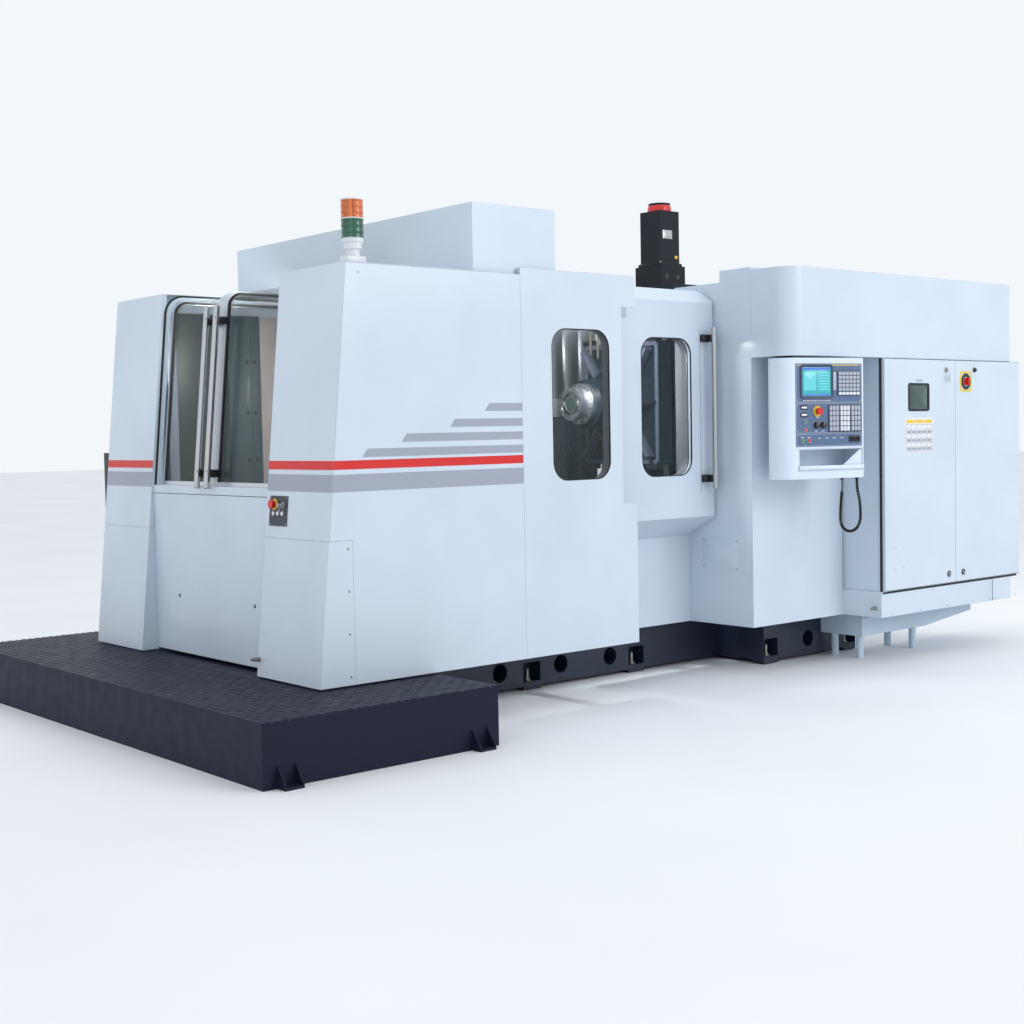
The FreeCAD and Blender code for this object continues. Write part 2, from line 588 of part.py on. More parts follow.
# ------------------------------------------------------------------ control corner and cabinet
def control_casing():
    """The casing between the sliding door and the cabinet: side wall, front wall and stepped top."""
    front = "-block_front"
    wall_back = "half_depth - bed_half - seat_gap"
    step = f"{BLOCK_TOP} - block_step"
    outline = [(front, "casing_low"), (wall_back, "casing_low"), (wall_back, "bed_top"),
               ("block_wall_back", "bed_top"), ("block_wall_back", step), ("block_step_place", step),
               ("block_step_place", BLOCK_TOP), (front, BLOCK_TOP)]
    side = prism("YZ", outline, "block_place", "block_place + skin")
    face = block(("block_place", "block_end"), (front, f"{front} + skin"), ("casing_low", BLOCK_TOP))
    top = block(("block_place", "block_end"), (front, "block_step_place"),
                (f"{BLOCK_TOP} - skin", BLOCK_TOP))
    riser = block(("block_place", "block_end"), ("block_step_place - skin", "block_step_place"),
                  (f"{step} - skin", BLOCK_TOP))
    lower = block(("block_place", "block_end"),
                  ("block_step_place - skin", "half_depth - column_half - column_reach - crown_slot"),
                  (f"{step} - skin", step))
    return node("control_casing", joined(side, face, top, riser, lower))


def header_fascia():
    """The header over the pendant and the cabinet, with a large round corner, open at its back."""
    z = ("header_low", "header_top")
    back = "-block_front - seat_gap"
    outer = block(("block_place", "header_end"), ("-header_front", back), z)
    corner = size("block_place") - size("reach_left")
    front = -size("header_front") - size("half_depth")

    def at_corner(middle):
        return middle.x < corner + 20 and middle.y < front + 20
    shell = rounded(outer, "header_radius", AXIS_Z, at_corner)
    hollow = block(("block_place + skin", "header_end - skin"), ("-header_front + skin", f"{back} + 1"),
                   ("header_low + skin", "header_top - skin"))
    cavity = rounded(hollow, "header_radius", AXIS_Z, at_corner)
    bore = rod(Z, "swivel_place", "-swivel_front", "header_low - 1", "swivel_radius + fit", "skin + 2")
    return node("header_fascia", without(shell, cavity, bore))


def cabinet():
    """The electrical cabinet with its plinth, two doors, latches, lock, isolator and cooler."""
    back = "half_depth - base_half - seat_gap"
    front = "-cabinet_face"
    top = "header_low - seat_gap"
    body = without(
        block(("cabinet_left", "cabinet_end"), (front, back), ("cabinet_low", top)),
        block(("cabinet_left + skin", "cabinet_end - skin"), (f"{front} - 1", f"{back} - skin"),
              ("cabinet_low + skin", f"{top} - skin")))
    post = block(("door_split - 20", "door_split + 20"), (f"{front} + 2", f"{front} + 40"),
                 ("cabinet_low", top))
    board = block(("cabinet_left + 40", "cabinet_end - 40"), (f"{back} - skin - 30", f"{back} - 1"),
                  ("cabinet_low + 60", f"{top} - 60"))
    plinth = without(
        block(("plinth_left", "plinth_end"), (front, back), ("casing_low", "cabinet_low + 1")),
        block(("plinth_left + skin", "plinth_end - skin"), (f"{front} + skin", f"{back} - skin"),
              ("casing_low - 1", "cabinet_low - skin")))
    face = f"{front} - seat_gap - door_proud"
    sides = (("cabinet_left + hinge_radius", "cabinet_left"),
             ("cabinet_end - hinge_radius", "cabinet_end - 8"))
    lugs, bores, pins = [], [], []
    for axis, start in sides:
        ends = (("door_foot - 0.5 - hinge_lug", "door_foot - 0.5"), ("door_head + 0.5", top))
        lugs += [block((start, f"{start} + 8"), (f"{face} + 2", f"{front} + 1"),
                       heights) for heights in ends]
        bores.append(rod(Z, axis, f"{face} + hinge_back", "cabinet_low - 1", "hinge_radius + fit",
                         f"{top} - cabinet_low + 2"))
        pins.append([rod(Z, axis, f"{face} + hinge_back", low, "hinge_radius", "hinge_lug + 20")
                     for low in ("door_foot - hinge_lug", "door_head - 23")])
    bearings = without(joined(*lugs), *bores)
    node("cabinet_body", joined(body, post, board, plinth, bearings))
    doors = (("cabinet_door_left", "cabinet_left", "door_split - 1.5", "door_split - latch_inset"),
             ("cabinet_door_right", "door_split + 1.5", "cabinet_end", "door_split + latch_inset + 10"))
    for (label, left, right, latch), pair in zip(doors, pins):
        panel = tray((left, right), ("door_foot", "door_head"), face, depth="door_proud")
        holes = [rod(Y, latch, f"{face} - 1", "latch_height", "latch_radius / 2 + fit", "skin + 2")]
        if label == "cabinet_door_left":
            holes.append(rod(Y, "door_split - lock_inset", f"{face} - 1", "lock_height",
                             "latch_radius / 2 + fit", "skin + 2"))
        else:
            holes.append(rod(Y, "isolator_place", f"{face} - 1", "isolator_height", "latch_radius / 2 + fit",
                             "skin + 2"))
        node(label, joined(without(panel, *holes), *pair))
        turn_piece(f"cabinet_latch_{label.split('_')[-1]}", latch, "latch_height", face, "latch_radius",
                   "latch_length")
    turn_piece("cabinet_lock", "door_split - lock_inset", "lock_height", face, "latch_radius",
               "latch_length")
    turn_piece("isolator_switch", "isolator_place", "isolator_height", face, "isolator_radius", "24")
    side = "cabinet_end + seat_gap"
    node("heat_exchanger", block((side, f"{side} + cooler_depth"),
                                 ("-cooler_front", "-cooler_front + cooler_width"),
                                 ("cooler_low", "cooler_low + cooler_height")))


def turn_piece(label, x, z, face, radius, length):
    """A turning latch or switch on a door: a round head with a grip bar, and its shank in the door."""
    head = rod(Y, x, f"{face} - seat_gap - 6", z, radius, "6")
    bar = block((f"{x} - {radius} * 0.3", f"{x} + {radius} * 0.3"),
                (f"{face} - seat_gap - {length}", f"{face} - 6"),
                (f"{z} - {radius} * 0.9", f"{z} + {radius} * 0.9"))
    shank = rod(Y, x, f"{face} - seat_gap - 1", z, "latch_radius / 2", "skin + seat_gap + 9")
    cam = block((f"{x} - 6", f"{x} + 6"), (f"{face} + skin + 3", f"{face} + skin + 7"),
                (f"{z} - 6", f"{z} + 24"))
    return node(label, joined(head, bar, shank, cam))


# ------------------------------------------------------------------ pendant
def on_pendant(label, obj):
    """Put a piece that is modelled about the swivel axis at the pendant's place and angle."""
    return node(label, placed(obj, "swivel_place", "-swivel_front", "0", AXIS_Z, "-swivel_angle"))


def pendant_housing():
    """The swivelling control box: round left end, front opening for the panel, tray and swivel pin."""
    radius = "pendant_radius"
    z = ("pendant_low", "pendant_top")
    end = rod(Z, "0", "0", "pendant_low", radius, "pendant_top - pendant_low", raw=True)
    box = block(("0", "pendant_length"), (f"-{radius}", radius), z, raw=True)
    opening = block(("0.5", "panel_width + 1.5"), (f"-{radius} - 1", f"{radius} - shell_wall"),
                    ("panel_low - 0.5", "panel_low + panel_height + 0.5"), raw=True)
    pocket = block(("tray_inner", "pendant_length - shell_wall"),
                   (f"-{radius} - 1", f"-{radius} + tray_depth"),
                   ("tray_floor", "tray_ceiling"), raw=True)
    pin = rod(Z, "0", "0", "pendant_top - 1", "swivel_radius", "swivel_rise", raw=True)
    bodywork = without(joined(end, box), opening, pocket)
    return on_pendant("pendant_housing", joined(bodywork, pin))


BUTTONS = (("cycle_start_button", "65", "1428"), ("feed_hold_button", "65", "1384"),
           ("power_on_button", "45", "1325"), ("power_off_button", "89", "1325"))
DIALS = (("feed_dial", "138", "1409"), ("speed_dial", "184", "1409"))
STOP = ("148", "1485")


def pendant_controls():
    """The panel plate with its holes, and the buttons, dials and stop button in them."""
    face = "-pendant_radius"
    plate = block(("1", "panel_width + 1"), (face, f"{face} + panel_plate"),
                  ("panel_low", "panel_low + panel_height"), raw=True)
    holes = [rod(Y, place, f"{face} - 1", height, "button_radius + button_gap", "panel_plate + 2", raw=True)
             for label, place, height in BUTTONS]
    holes += [rod(Y, place, f"{face} - 1", height, "latch_radius / 2 + fit", "panel_plate + 2", raw=True)
              for label, place, height in DIALS]
    holes.append(rod(Y, STOP[0], f"{face} - 1", STOP[1], "stem_radius + button_gap", "panel_plate + 2",
                     raw=True))
    on_pendant("pendant_panel", without(plate, *holes))
    for label, place, height in BUTTONS:
        start = f"{face} - button_out"
        on_pendant(label, rod(Y, place, start, height, "button_radius", "button_out + button_in", raw=True))
    for label, place, height in DIALS:
        knob = rod(Y, place, f"{face} - seat_gap - dial_stand", height, "dial_radius", "dial_stand",
                   raw=True,
                   top="dial_radius + 3")
        shank = rod(Y, place, f"{face} - seat_gap - 1", height, "latch_radius / 2", "panel_plate + 9",
                    raw=True)
        on_pendant(label, joined(knob, shank))
    cap = rod(Y, STOP[0], f"{face} - cap_stand - cap_thick", STOP[1], "cap_radius", "cap_thick", raw=True)
    stem = rod(Y, STOP[0], f"{face} - cap_stand - 1", STOP[1], "stem_radius", "cap_stand + button_in",
               raw=True)
    on_pendant("pendant_stop_button", joined(cap, stem))


# the handwheel's curly lead: places along the pendant's face, and heights, from one end to the other
LEAD_ROUTE = [(336, 1113), (336, 1052), (329, 990), (323, 926), (322, 853), (363, 812), (420, 812),
              (461, 853), (463, 926), (456, 990), (438, 1052), (438, 1113)]


def handwheel_lead():
    """The hanging loop of curly lead: straight runs joined by tangent arcs, swept with its outer radius."""
    angle = math.radians(size("swivel_angle"))
    face_x = size("swivel_place") - size("reach_left") - math.sin(angle) * size("lead_plane")
    face_y = -size("swivel_front") - size("half_depth") - math.cos(angle) * size("lead_plane")
    points = [FreeCAD.Vector(face_x + along_face * math.cos(angle), face_y - along_face * math.sin(angle),
                             height)
              for along_face, height in LEAD_ROUTE]
    edges, here = [], points[0]
    for before, corner, after in zip(points, points[1:], points[2:]):
        back, ahead = before - corner, after - corner
        turn = math.pi - back.getAngle(ahead)
        reach = 0.45 * min(back.Length, ahead.Length)
        print("lead radius", round(reach / math.tan(turn / 2), 1))
        start = corner + back.normalize() * reach
        end = corner + ahead.normalize() * reach
        bisector = (back + ahead).normalize()
        radius = reach / math.tan(turn / 2)
        centre = corner + bisector * (radius / math.cos(turn / 2))
        edges.append(Part.LineSegment(here, start).toShape())
        arc = Part.Arc(start, centre - bisector * radius, end)
        edges.append(arc.toShape())
        here = end
    edges.append(Part.LineSegment(here, points[-1]).toShape())
    length = sum(edge.Length for edge in edges)
    direction = (points[1] - points[0]).normalize()
    section = Part.Wire([Part.makeCircle(size("lead_radius"), points[0], direction)])
    tube = Part.Wire(edges).makePipeShell([section], True, True)
    expected = math.pi * size("lead_radius") ** 2 * length
    print("lead length", round(length), "volume ratio", round(tube.Volume / expected, 4))
    feature = doc.addObject("Part::Feature", "lead")
    feature.Shape = tube
    return node("handwheel_lead", feature)


# ------------------------------------------------------------------ station plate and small casings
STATION = (("station_ready_button", "38"), ("station_turn_button", "76"), ("station_clamp_button", "114"))


def on_end_face(obj):
    """Put a piece that is modelled about the control plate's lower left corner on the leaning end face."""
    return placed(obj, leaning("plate_low"), "plate_place", "plate_low", AXIS_Y, LEAN)


def on_station(label, obj):
    """Put a piece that is modelled about the plate's lower left corner on the leaning end face."""
    return node(label, on_end_face(obj))


def station_plate():
    """The loading station's control plate, with its stop button, three push buttons and key switch."""
    outer = "-seat_gap - plate_thick"
    through = "plate_thick + 2"
    cap_y, cap_z = "112", "100"
    key_y, key_z = "36", "96"
    plate = block((outer, "-seat_gap"), ("0", "plate_width"), ("0", "plate_height"), raw=True)
    holes = [rod(X, f"{outer} - 1", place, "button_row", "button_radius + button_gap", through, raw=True)
             for label, place in STATION]
    holes.append(rod(X, f"{outer} - 1", cap_y, cap_z, "stem_radius + button_gap", through, raw=True))
    holes.append(rod(X, f"{outer} - 1", key_y, key_z, "key_radius + fit", through, raw=True))
    on_station("station_plate", without(plate, *holes))
    for label, place in STATION:
        on_station(label, rod(X, f"{outer} - button_out", place, "button_row", "button_radius",
                              "button_out + button_in", raw=True))
    cap = rod(X, f"{outer} - cap_stand - cap_thick", cap_y, cap_z, "cap_radius", "cap_thick", raw=True)
    stem = rod(X, f"{outer} - cap_stand - 1", cap_y, cap_z, "stem_radius", "cap_stand + button_in", raw=True)
    on_station("station_stop_button", joined(cap, stem))
    barrel = rod(X, f"{outer} - 12", key_y, key_z, "key_radius", "12 + button_in", raw=True)
    key = block((f"{outer} - 34", f"{outer} - 11"), (f"{key_y} - 1.5", f"{key_y} + 1.5"),
                (f"{key_z} - 9", f"{key_z} + 9"), raw=True)
    on_station("key_switch", joined(barrel, key))


def signal_tower():
    """The signal lamp: foot box, neck and the round stack of lenses."""
    half = "tower_box / 2"
    foot = block((f"tower_place - {half}", f"tower_place + {half}"),
                 (f"tower_across - {half} * 0.6", f"tower_across + {half} * 0.6"),
                 ("casing_top + seat_gap", "casing_top + tower_box_height"))
    neck = rod(Z, "tower_place", "tower_across", "casing_top + tower_box_height - 1", "tower_neck",
               "tower_neck_rise - tower_box_height + 2")
    stack = rod(Z, "tower_place", "tower_across", "casing_top + tower_neck_rise", "tower_radius",
                "tower_rise - tower_neck_rise")
    return node("signal_tower", joined(foot, neck, stack))


def coolant_tank():
    """The tank under the cabinet, on four legs, with its right end raised."""
    low, top = "tank_low", "tank_top"
    raised = "tank_low + 55"
    outline = [("tank_start", low), ("tank_end - 520", low), ("tank_end", raised), ("tank_end", top),
               ("tank_start", top)]
    back = "half_depth - base_half - seat_gap"
    body = prism("XZ", outline, "-tank_front", back)
    legs = [rod(Z, x, y, "0", "tank_leg", f"{raised} - 10")
            for x in ("tank_start + 60", "tank_end - 560") for y in ("-tank_front + 60", f"{back} - 60")]
    return node("coolant_tank", joined(body, *legs))


def side_box():
    """The black box on the far side of the loading end, with its lug."""
    face = mirrored("-seat_gap")
    box = block(("side_box_start + lean_run / 2", "side_box_end + lean_run / 2"),
                (face, f"{face} + side_box_depth"),
                ("side_box_low", "side_box_top"))
    lug = block(("side_box_start + lean_run / 2", "side_box_start + lean_run / 2 + lug_width"),
                (face, f"{face} + side_box_depth / 2"),
                ("lug_low", "side_box_low + 1"))
    return node("side_box", joined(box, lug))


# ------------------------------------------------------------------ working parts
def moving_column():
    """The travelling column: hollow front for the drive, two guide rails and the foot on the ways."""
    middle = "half_depth"
    body = block(("column_place", "column_place + column_depth"),
                 (f"{middle} - column_half", f"{middle} + column_half"),
                 ("bed_top + way_height + seat_gap", "column_top"))
    shaft = block(("column_place - 1", "column_place + shaft_depth"),
                  (f"{middle} - shaft_half", f"{middle} + shaft_half"),
                  ("shaft_low", "shaft_top"))
    rails = []
    for side in (-1, 1):
        centre = f"{middle} + {side} * rail_half"
        rails.append(block(("column_place - rail_height", "column_place + 1"),
                           (f"{centre} - rail_width / 2", f"{centre} + rail_width / 2"),
                           ("column_low", "column_top - 40")))
    return node("moving_column", joined(without(body, shaft), *rails))


def headstock():
    """The headstock: carriage on the rails, ribs, spindle housing with its bore, and the drive behind."""
    middle, height = "half_depth", "spindle_height"
    back = "column_place - rail_height - seat_gap"
    front = f"{back} - carriage_thick"
    carriage = block((front, back), (f"{middle} - column_half", f"{middle} + column_half"),
                     (f"{height} - carriage_half", f"{height} + carriage_half"))
    housing = rod(X, "housing_place", middle, height, "housing_radius", f"{front} - housing_place + 1")
    drive = rod(X, f"{back} - 1", middle, height, "drive_radius", "drive_length")
    ribs = []
    for side in (-1, 1):
        y = (f"{middle} - rib_thick / 2", f"{middle} + rib_thick / 2")
        outline = [(f"{front} + 1", f"{height} + {side} * (housing_radius - 10)"),
                   ("housing_place + 60", f"{height} + {side} * (housing_radius - 10)"),
                   (f"{front} + 1", f"{height} + {side} * (carriage_half - 20)")]
        ribs.append(prism("XZ", outline, *y))
        flat = [(f"{front} + 1", f"{middle} + {side} * (housing_radius - 10)"),
                ("housing_place + 60", f"{middle} + {side} * (housing_radius - 10)"),
                (f"{front} + 1", f"{middle} + {side} * (column_half - 10)")]
        ribs.append(prism("XY", flat, f"{height} - rib_thick / 2", f"{height} + rib_thick / 2"))
    bore = rod(X, "housing_place - 1", middle, height, "shank_radius + fit", "shank_length + 2")
    return node("headstock", without(joined(carriage, housing, drive, *ribs), bore))


def spindle():
    """The spindle: shank in its bore, flange and nose with the tool taper."""
    middle, height = "half_depth", "spindle_height"
    nose = rod(X, "spindle_nose", middle, height, "nose_radius", "nose_length + 1")
    flange = rod(X, "spindle_nose + nose_length", middle, height, "flange_radius",
                 "housing_place - seat_gap - spindle_nose - nose_length")
    shank = rod(X, "housing_place - seat_gap - 1", middle, height, "shank_radius", "shank_length")
    taper = rod(X, "spindle_nose - 0.01", middle, height, "taper_radius", "taper_depth", top="taper_end")
    return node("spindle", without(joined(nose, flange, shank), taper))


def column_motor():
    """The vertical axis servo motor on the column: adapter, square body and round cap."""
    x, y = "motor_place", "half_depth"

    def square(half, z):
        return block((f"{x} - {half}", f"{x} + {half}"), (f"{y} - {half}", f"{y} + {half}"), z)
    adapter = square("adapter_half", ("column_top + seat_gap", "adapter_top + 1"))
    body = square("motor_half", ("adapter_top", "motor_top"))
    cap = rod(Z, x, y, "motor_top - 1", "motor_cap_radius", "cap_top - motor_top + 1")
    return node("column_motor", joined(adapter, body, cap))


def table():
    """The table saddle on the bed's ways, the turning table on it and the pallet that it carries."""
    x, middle = "table_place", "half_depth"
    low = "bed_top + way_height + seat_gap"
    node("table_saddle", block((f"{x} - saddle_length / 2", f"{x} + saddle_length / 2"),
                               (f"{middle} - saddle_half", f"{middle} + saddle_half"), (low, "saddle_top")))
    neck_low = "saddle_top + seat_gap"
    node("rotary_table", rod(Z, x, middle, neck_low, "neck_radius",
                             f"pallet_level - pallet_thick - seat_gap - ({neck_low})"))
    pallet("machining_pallet", x, "pallet_level - pallet_thick")


def pallet(label, x, low):
    """A square pallet with two square patterns of tapped holes in its top."""
    middle, half = "half_depth", "pallet_size / 2"
    plate = block((f"{x} - {half}", f"{x} + {half}"), (f"{middle} - {half}", f"{middle} + {half}"),
                  (low, f"{low} + pallet_thick"))
    holes = []
    for grid in ("outer_grid", "inner_grid"):
        for side_x in (-1, 1):
            for side_y in (-1, 1):
                holes.append(rod(Z, f"{x} + {side_x} * {grid} / 2", f"{middle} + {side_y} * {grid} / 2",
                                 f"{low} + pallet_thick - hole_depth", "hole_radius", "hole_depth + 1"))
    return node(label, without(rounded(plate, "pallet_edge", AXIS_Z), *holes))


def pallet_changer():
    """The pallet changer: lifting post, turning arm with two forks and the screen between them."""
    x, middle = "turn_place", "half_depth"
    node("changer_post", rod(Z, x, middle, "bed_top + seat_gap", "post_radius",
                             "post_top - bed_top - seat_gap"))
    hub = rod(Z, x, middle, "post_top + seat_gap", "post_radius + 30", "tine_top - post_top - seat_gap")
    cross = block((f"{x} - cross_half", f"{x} + cross_half"),
                  (f"{middle} - tine_inner - 1", f"{middle} + tine_inner + 1"),
                  ("tine_low", "tine_top"))
    tines = [block((f"{x} - tine_reach", f"{x} + tine_reach"), (low, f"{low} + tine_width"),
                   ("tine_low", "tine_top"))
             for low in (f"{middle} + tine_inner", f"{middle} - tine_inner - tine_width")]
    screen = block((f"{x} - screen_thick / 2", f"{x} + screen_thick / 2"),
                   (f"{middle} - screen_half", f"{middle} + screen_half"), ("tine_top - 1", "screen_top"))
    node("pallet_changer", joined(hub, cross, screen, *tines))
    pallet("station_pallet", f"{x} - turn_reach", "tine_top + seat_gap")


def tool_magazine():
    """The drum magazine: disc, shaft in its bracket and a ring of tool pockets."""
    disc = rod(X, "drum_place", "drum_across", "drum_height", "drum_radius", "drum_thick")
    shaft = rod(X, "drum_place - bracket_length", "drum_across", "drum_height", "drum_shaft",
                "bracket_length + 1")
    pockets = []
    for index in range(int(size("pocket_count"))):
        turn = f"{index} * 360 / pocket_count"
        pockets.append(rod(X, "drum_place + drum_thick - 1", f"drum_across + pocket_circle * cos({turn})",
                           f"drum_height + pocket_circle * sin({turn})", "pocket_radius", "pocket_length"))
    return node("tool_magazine", joined(disc, shaft, *pockets))


def build():
    """Every piece of the machine."""
    bed_casting()
    access_platform()
    for near in (True, False):
        name = "near" if near else "far"
        end_casing(f"{name}_column_casing", near)
        end_cover(f"{name}_lower_cover", near)
        loading_door(f"loading_door_{name}", f"loading_glass_{name}", near)
    station_apron()
    long_panel("front_side_panel", True, "front_length")
    long_panel("far_side_panel", False, "far_length")
    window_panel()
    base_panel()
    operator_door()
    roof_housing()
    control_casing()
    header_fascia()
    cabinet()
    pendant_housing()
    pendant_controls()
    handwheel_lead()
    station_plate()
    signal_tower()
    coolant_tank()
    side_box()
    moving_column()
    headstock()
    spindle()
    column_motor()
    table()
    pallet_changer()
    tool_magazine()
    doc.recompute()


def check():
    """Stop on any object that failed, and on any piece that isn't a valid shape."""
    failed = [o.Label for o in doc.Objects if "Invalid" in o.State or "Error" in o.State]
    failed += [label for label, obj in NODES.items() if obj.Shape.isNull() or not obj.Shape.isValid()]
    if failed:
        raise RuntimeError(f"not built: {failed}")


build()
check()
os.makedirs("parts", exist_ok=True)
for label, obj in NODES.items():
    obj.Shape.exportStep(f"parts/{label}.step")
print(len(NODES), "pieces")
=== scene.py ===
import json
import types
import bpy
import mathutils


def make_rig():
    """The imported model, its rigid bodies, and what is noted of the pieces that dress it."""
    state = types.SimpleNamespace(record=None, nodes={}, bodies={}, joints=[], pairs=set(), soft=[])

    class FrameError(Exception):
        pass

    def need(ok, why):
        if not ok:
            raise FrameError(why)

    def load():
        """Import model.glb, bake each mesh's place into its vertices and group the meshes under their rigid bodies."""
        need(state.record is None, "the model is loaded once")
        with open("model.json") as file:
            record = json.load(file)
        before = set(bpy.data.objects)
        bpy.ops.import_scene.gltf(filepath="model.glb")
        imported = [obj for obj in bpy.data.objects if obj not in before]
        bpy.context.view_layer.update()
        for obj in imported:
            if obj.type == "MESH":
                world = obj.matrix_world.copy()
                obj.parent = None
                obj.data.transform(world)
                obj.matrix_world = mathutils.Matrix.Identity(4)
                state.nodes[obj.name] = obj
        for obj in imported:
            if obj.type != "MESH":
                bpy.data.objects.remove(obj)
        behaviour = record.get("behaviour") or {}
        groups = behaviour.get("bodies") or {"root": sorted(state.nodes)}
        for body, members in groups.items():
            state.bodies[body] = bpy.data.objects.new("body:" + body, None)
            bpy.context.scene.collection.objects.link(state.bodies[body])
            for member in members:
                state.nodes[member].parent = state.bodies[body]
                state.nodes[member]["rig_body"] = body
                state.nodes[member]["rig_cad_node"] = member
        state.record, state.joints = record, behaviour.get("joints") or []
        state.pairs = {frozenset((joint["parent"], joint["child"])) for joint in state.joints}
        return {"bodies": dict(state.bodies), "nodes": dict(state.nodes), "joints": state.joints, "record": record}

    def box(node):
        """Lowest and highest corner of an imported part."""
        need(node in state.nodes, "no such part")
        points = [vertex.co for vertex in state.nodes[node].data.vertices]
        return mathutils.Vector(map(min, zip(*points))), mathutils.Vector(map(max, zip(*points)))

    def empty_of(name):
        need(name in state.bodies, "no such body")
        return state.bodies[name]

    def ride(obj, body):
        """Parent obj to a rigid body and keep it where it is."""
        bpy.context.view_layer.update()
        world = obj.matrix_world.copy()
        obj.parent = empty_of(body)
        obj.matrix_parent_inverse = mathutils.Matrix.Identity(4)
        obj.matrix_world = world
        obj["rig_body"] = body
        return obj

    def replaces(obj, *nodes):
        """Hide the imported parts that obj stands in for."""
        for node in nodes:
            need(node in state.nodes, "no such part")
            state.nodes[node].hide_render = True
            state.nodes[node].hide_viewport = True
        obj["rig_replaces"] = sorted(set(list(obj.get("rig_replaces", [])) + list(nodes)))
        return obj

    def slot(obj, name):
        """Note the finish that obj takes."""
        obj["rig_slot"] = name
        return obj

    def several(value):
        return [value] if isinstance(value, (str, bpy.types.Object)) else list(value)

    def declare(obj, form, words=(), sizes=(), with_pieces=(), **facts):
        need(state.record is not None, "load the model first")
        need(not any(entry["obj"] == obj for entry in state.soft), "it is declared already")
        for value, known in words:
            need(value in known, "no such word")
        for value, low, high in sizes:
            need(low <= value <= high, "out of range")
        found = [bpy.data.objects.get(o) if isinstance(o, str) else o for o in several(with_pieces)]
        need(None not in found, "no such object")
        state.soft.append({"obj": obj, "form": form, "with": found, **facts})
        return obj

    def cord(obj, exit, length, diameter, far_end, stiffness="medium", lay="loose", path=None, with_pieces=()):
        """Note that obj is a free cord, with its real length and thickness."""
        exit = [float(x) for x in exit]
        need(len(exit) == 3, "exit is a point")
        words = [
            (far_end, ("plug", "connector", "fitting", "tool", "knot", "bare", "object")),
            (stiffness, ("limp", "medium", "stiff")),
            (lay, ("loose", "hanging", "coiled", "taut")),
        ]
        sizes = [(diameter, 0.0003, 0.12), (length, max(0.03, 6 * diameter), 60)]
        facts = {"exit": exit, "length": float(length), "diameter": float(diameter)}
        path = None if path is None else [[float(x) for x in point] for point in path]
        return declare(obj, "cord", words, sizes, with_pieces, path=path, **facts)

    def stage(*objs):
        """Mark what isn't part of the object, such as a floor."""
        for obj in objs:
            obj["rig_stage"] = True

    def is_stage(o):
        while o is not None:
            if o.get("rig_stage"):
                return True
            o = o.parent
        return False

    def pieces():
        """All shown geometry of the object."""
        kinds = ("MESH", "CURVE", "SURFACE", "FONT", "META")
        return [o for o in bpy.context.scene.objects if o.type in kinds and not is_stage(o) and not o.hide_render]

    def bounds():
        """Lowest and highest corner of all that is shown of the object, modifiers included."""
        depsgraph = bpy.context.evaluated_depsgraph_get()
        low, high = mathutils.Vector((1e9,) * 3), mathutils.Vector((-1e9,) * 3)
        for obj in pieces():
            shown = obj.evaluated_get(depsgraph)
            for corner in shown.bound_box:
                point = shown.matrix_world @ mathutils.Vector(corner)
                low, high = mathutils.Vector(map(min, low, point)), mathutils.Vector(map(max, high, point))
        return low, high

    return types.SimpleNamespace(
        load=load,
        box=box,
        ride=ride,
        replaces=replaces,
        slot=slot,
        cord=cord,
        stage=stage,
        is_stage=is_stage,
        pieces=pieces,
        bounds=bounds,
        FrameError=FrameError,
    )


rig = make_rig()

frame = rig.load()

import json
import math

import bpy
import numpy as np
from mathutils import Matrix, Vector

bl_info = {
    "name": "Machining centre looks",
    "version": (1, 0, 0),
    "blender": (4, 5, 0),
    "location": "View3D > Sidebar > Machining centre",
    "description": "Finishes, trims and small parts of a horizontal machining centre",
    "category": "Object",
}

CAD_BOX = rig.bounds()
NODES = frame["nodes"]
BODY = {name: obj["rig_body"] for name, obj in NODES.items()}
LOW = {name: np.array(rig.box(name)[0]) for name in NODES}
HIGH = {name: np.array(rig.box(name)[1]) for name in NODES}
X, Y, Z = np.eye(3)

# two corners on the casings' leaning end face: at its foot, and where the upper casing starts
CASING_FOOT = LOW["near_lower_cover"]
CASING_HEAD = LOW["near_column_casing"]
FRONT = LOW["front_side_panel"][1]
BACK = HIGH["far_side_panel"][1]
FLOOR = 0.0
# the column's two upright rails across the machine, and the bolts' heights on the loading room's walls
RAIL_PLACES = (FRONT + 0.862, FRONT + 1.418)
WALL_BOLT_HEIGHTS = (1.85, 1.55, 1.27)


def along(place):
    """A place counted from the casings' foot at the loading end."""
    return CASING_FOOT[0] + place


# ------------------------------------------------------------------ surfaces
class Face:
    """A flat working plane: an origin, a direction across (u), one upwards (v) and the outward normal (n)."""

    def __init__(self, origin, u, v, n=None):
        self.o = np.array(origin, float)
        self.u = np.array(u, float) / np.linalg.norm(u)
        self.v = np.array(v, float) / np.linalg.norm(v)
        self.n = np.cross(self.u, self.v) if n is None else np.array(n, float) / np.linalg.norm(n)

    def at(self, u, v, n=0.0):
        """A point, or an array of them, from its places across, up and out of the plane."""
        u, v, n = np.broadcast_arrays(*(np.asarray(w, float) for w in (u, v, n)))
        return self.o + u[..., None] * self.u + v[..., None] * self.v + n[..., None] * self.n

    def moved(self, u, v, n=0.0):
        """The same plane with its origin moved."""
        return Face(self.at(u, v, n), self.u, self.v, self.n)


def front_face(x, y, z):
    """A plane that looks towards the operator's side, with x across and z up."""
    return Face((x, y, z), X, Z, -Y)


def left_face(x, y, z):
    """A plane that looks along -x, with -y across and z up."""
    return Face((x, y, z), -Y, Z, -X)


def faces_out(points, quads):
    """Turn every face round when the closed surface's signed volume is negative."""
    a, b, c, d = (points[quads[:, k]] for k in range(4))
    volume = np.einsum("ij,ij->i", a, np.cross(b, c) + np.cross(c, d)).sum()
    return quads if volume >= 0 else quads[:, ::-1]


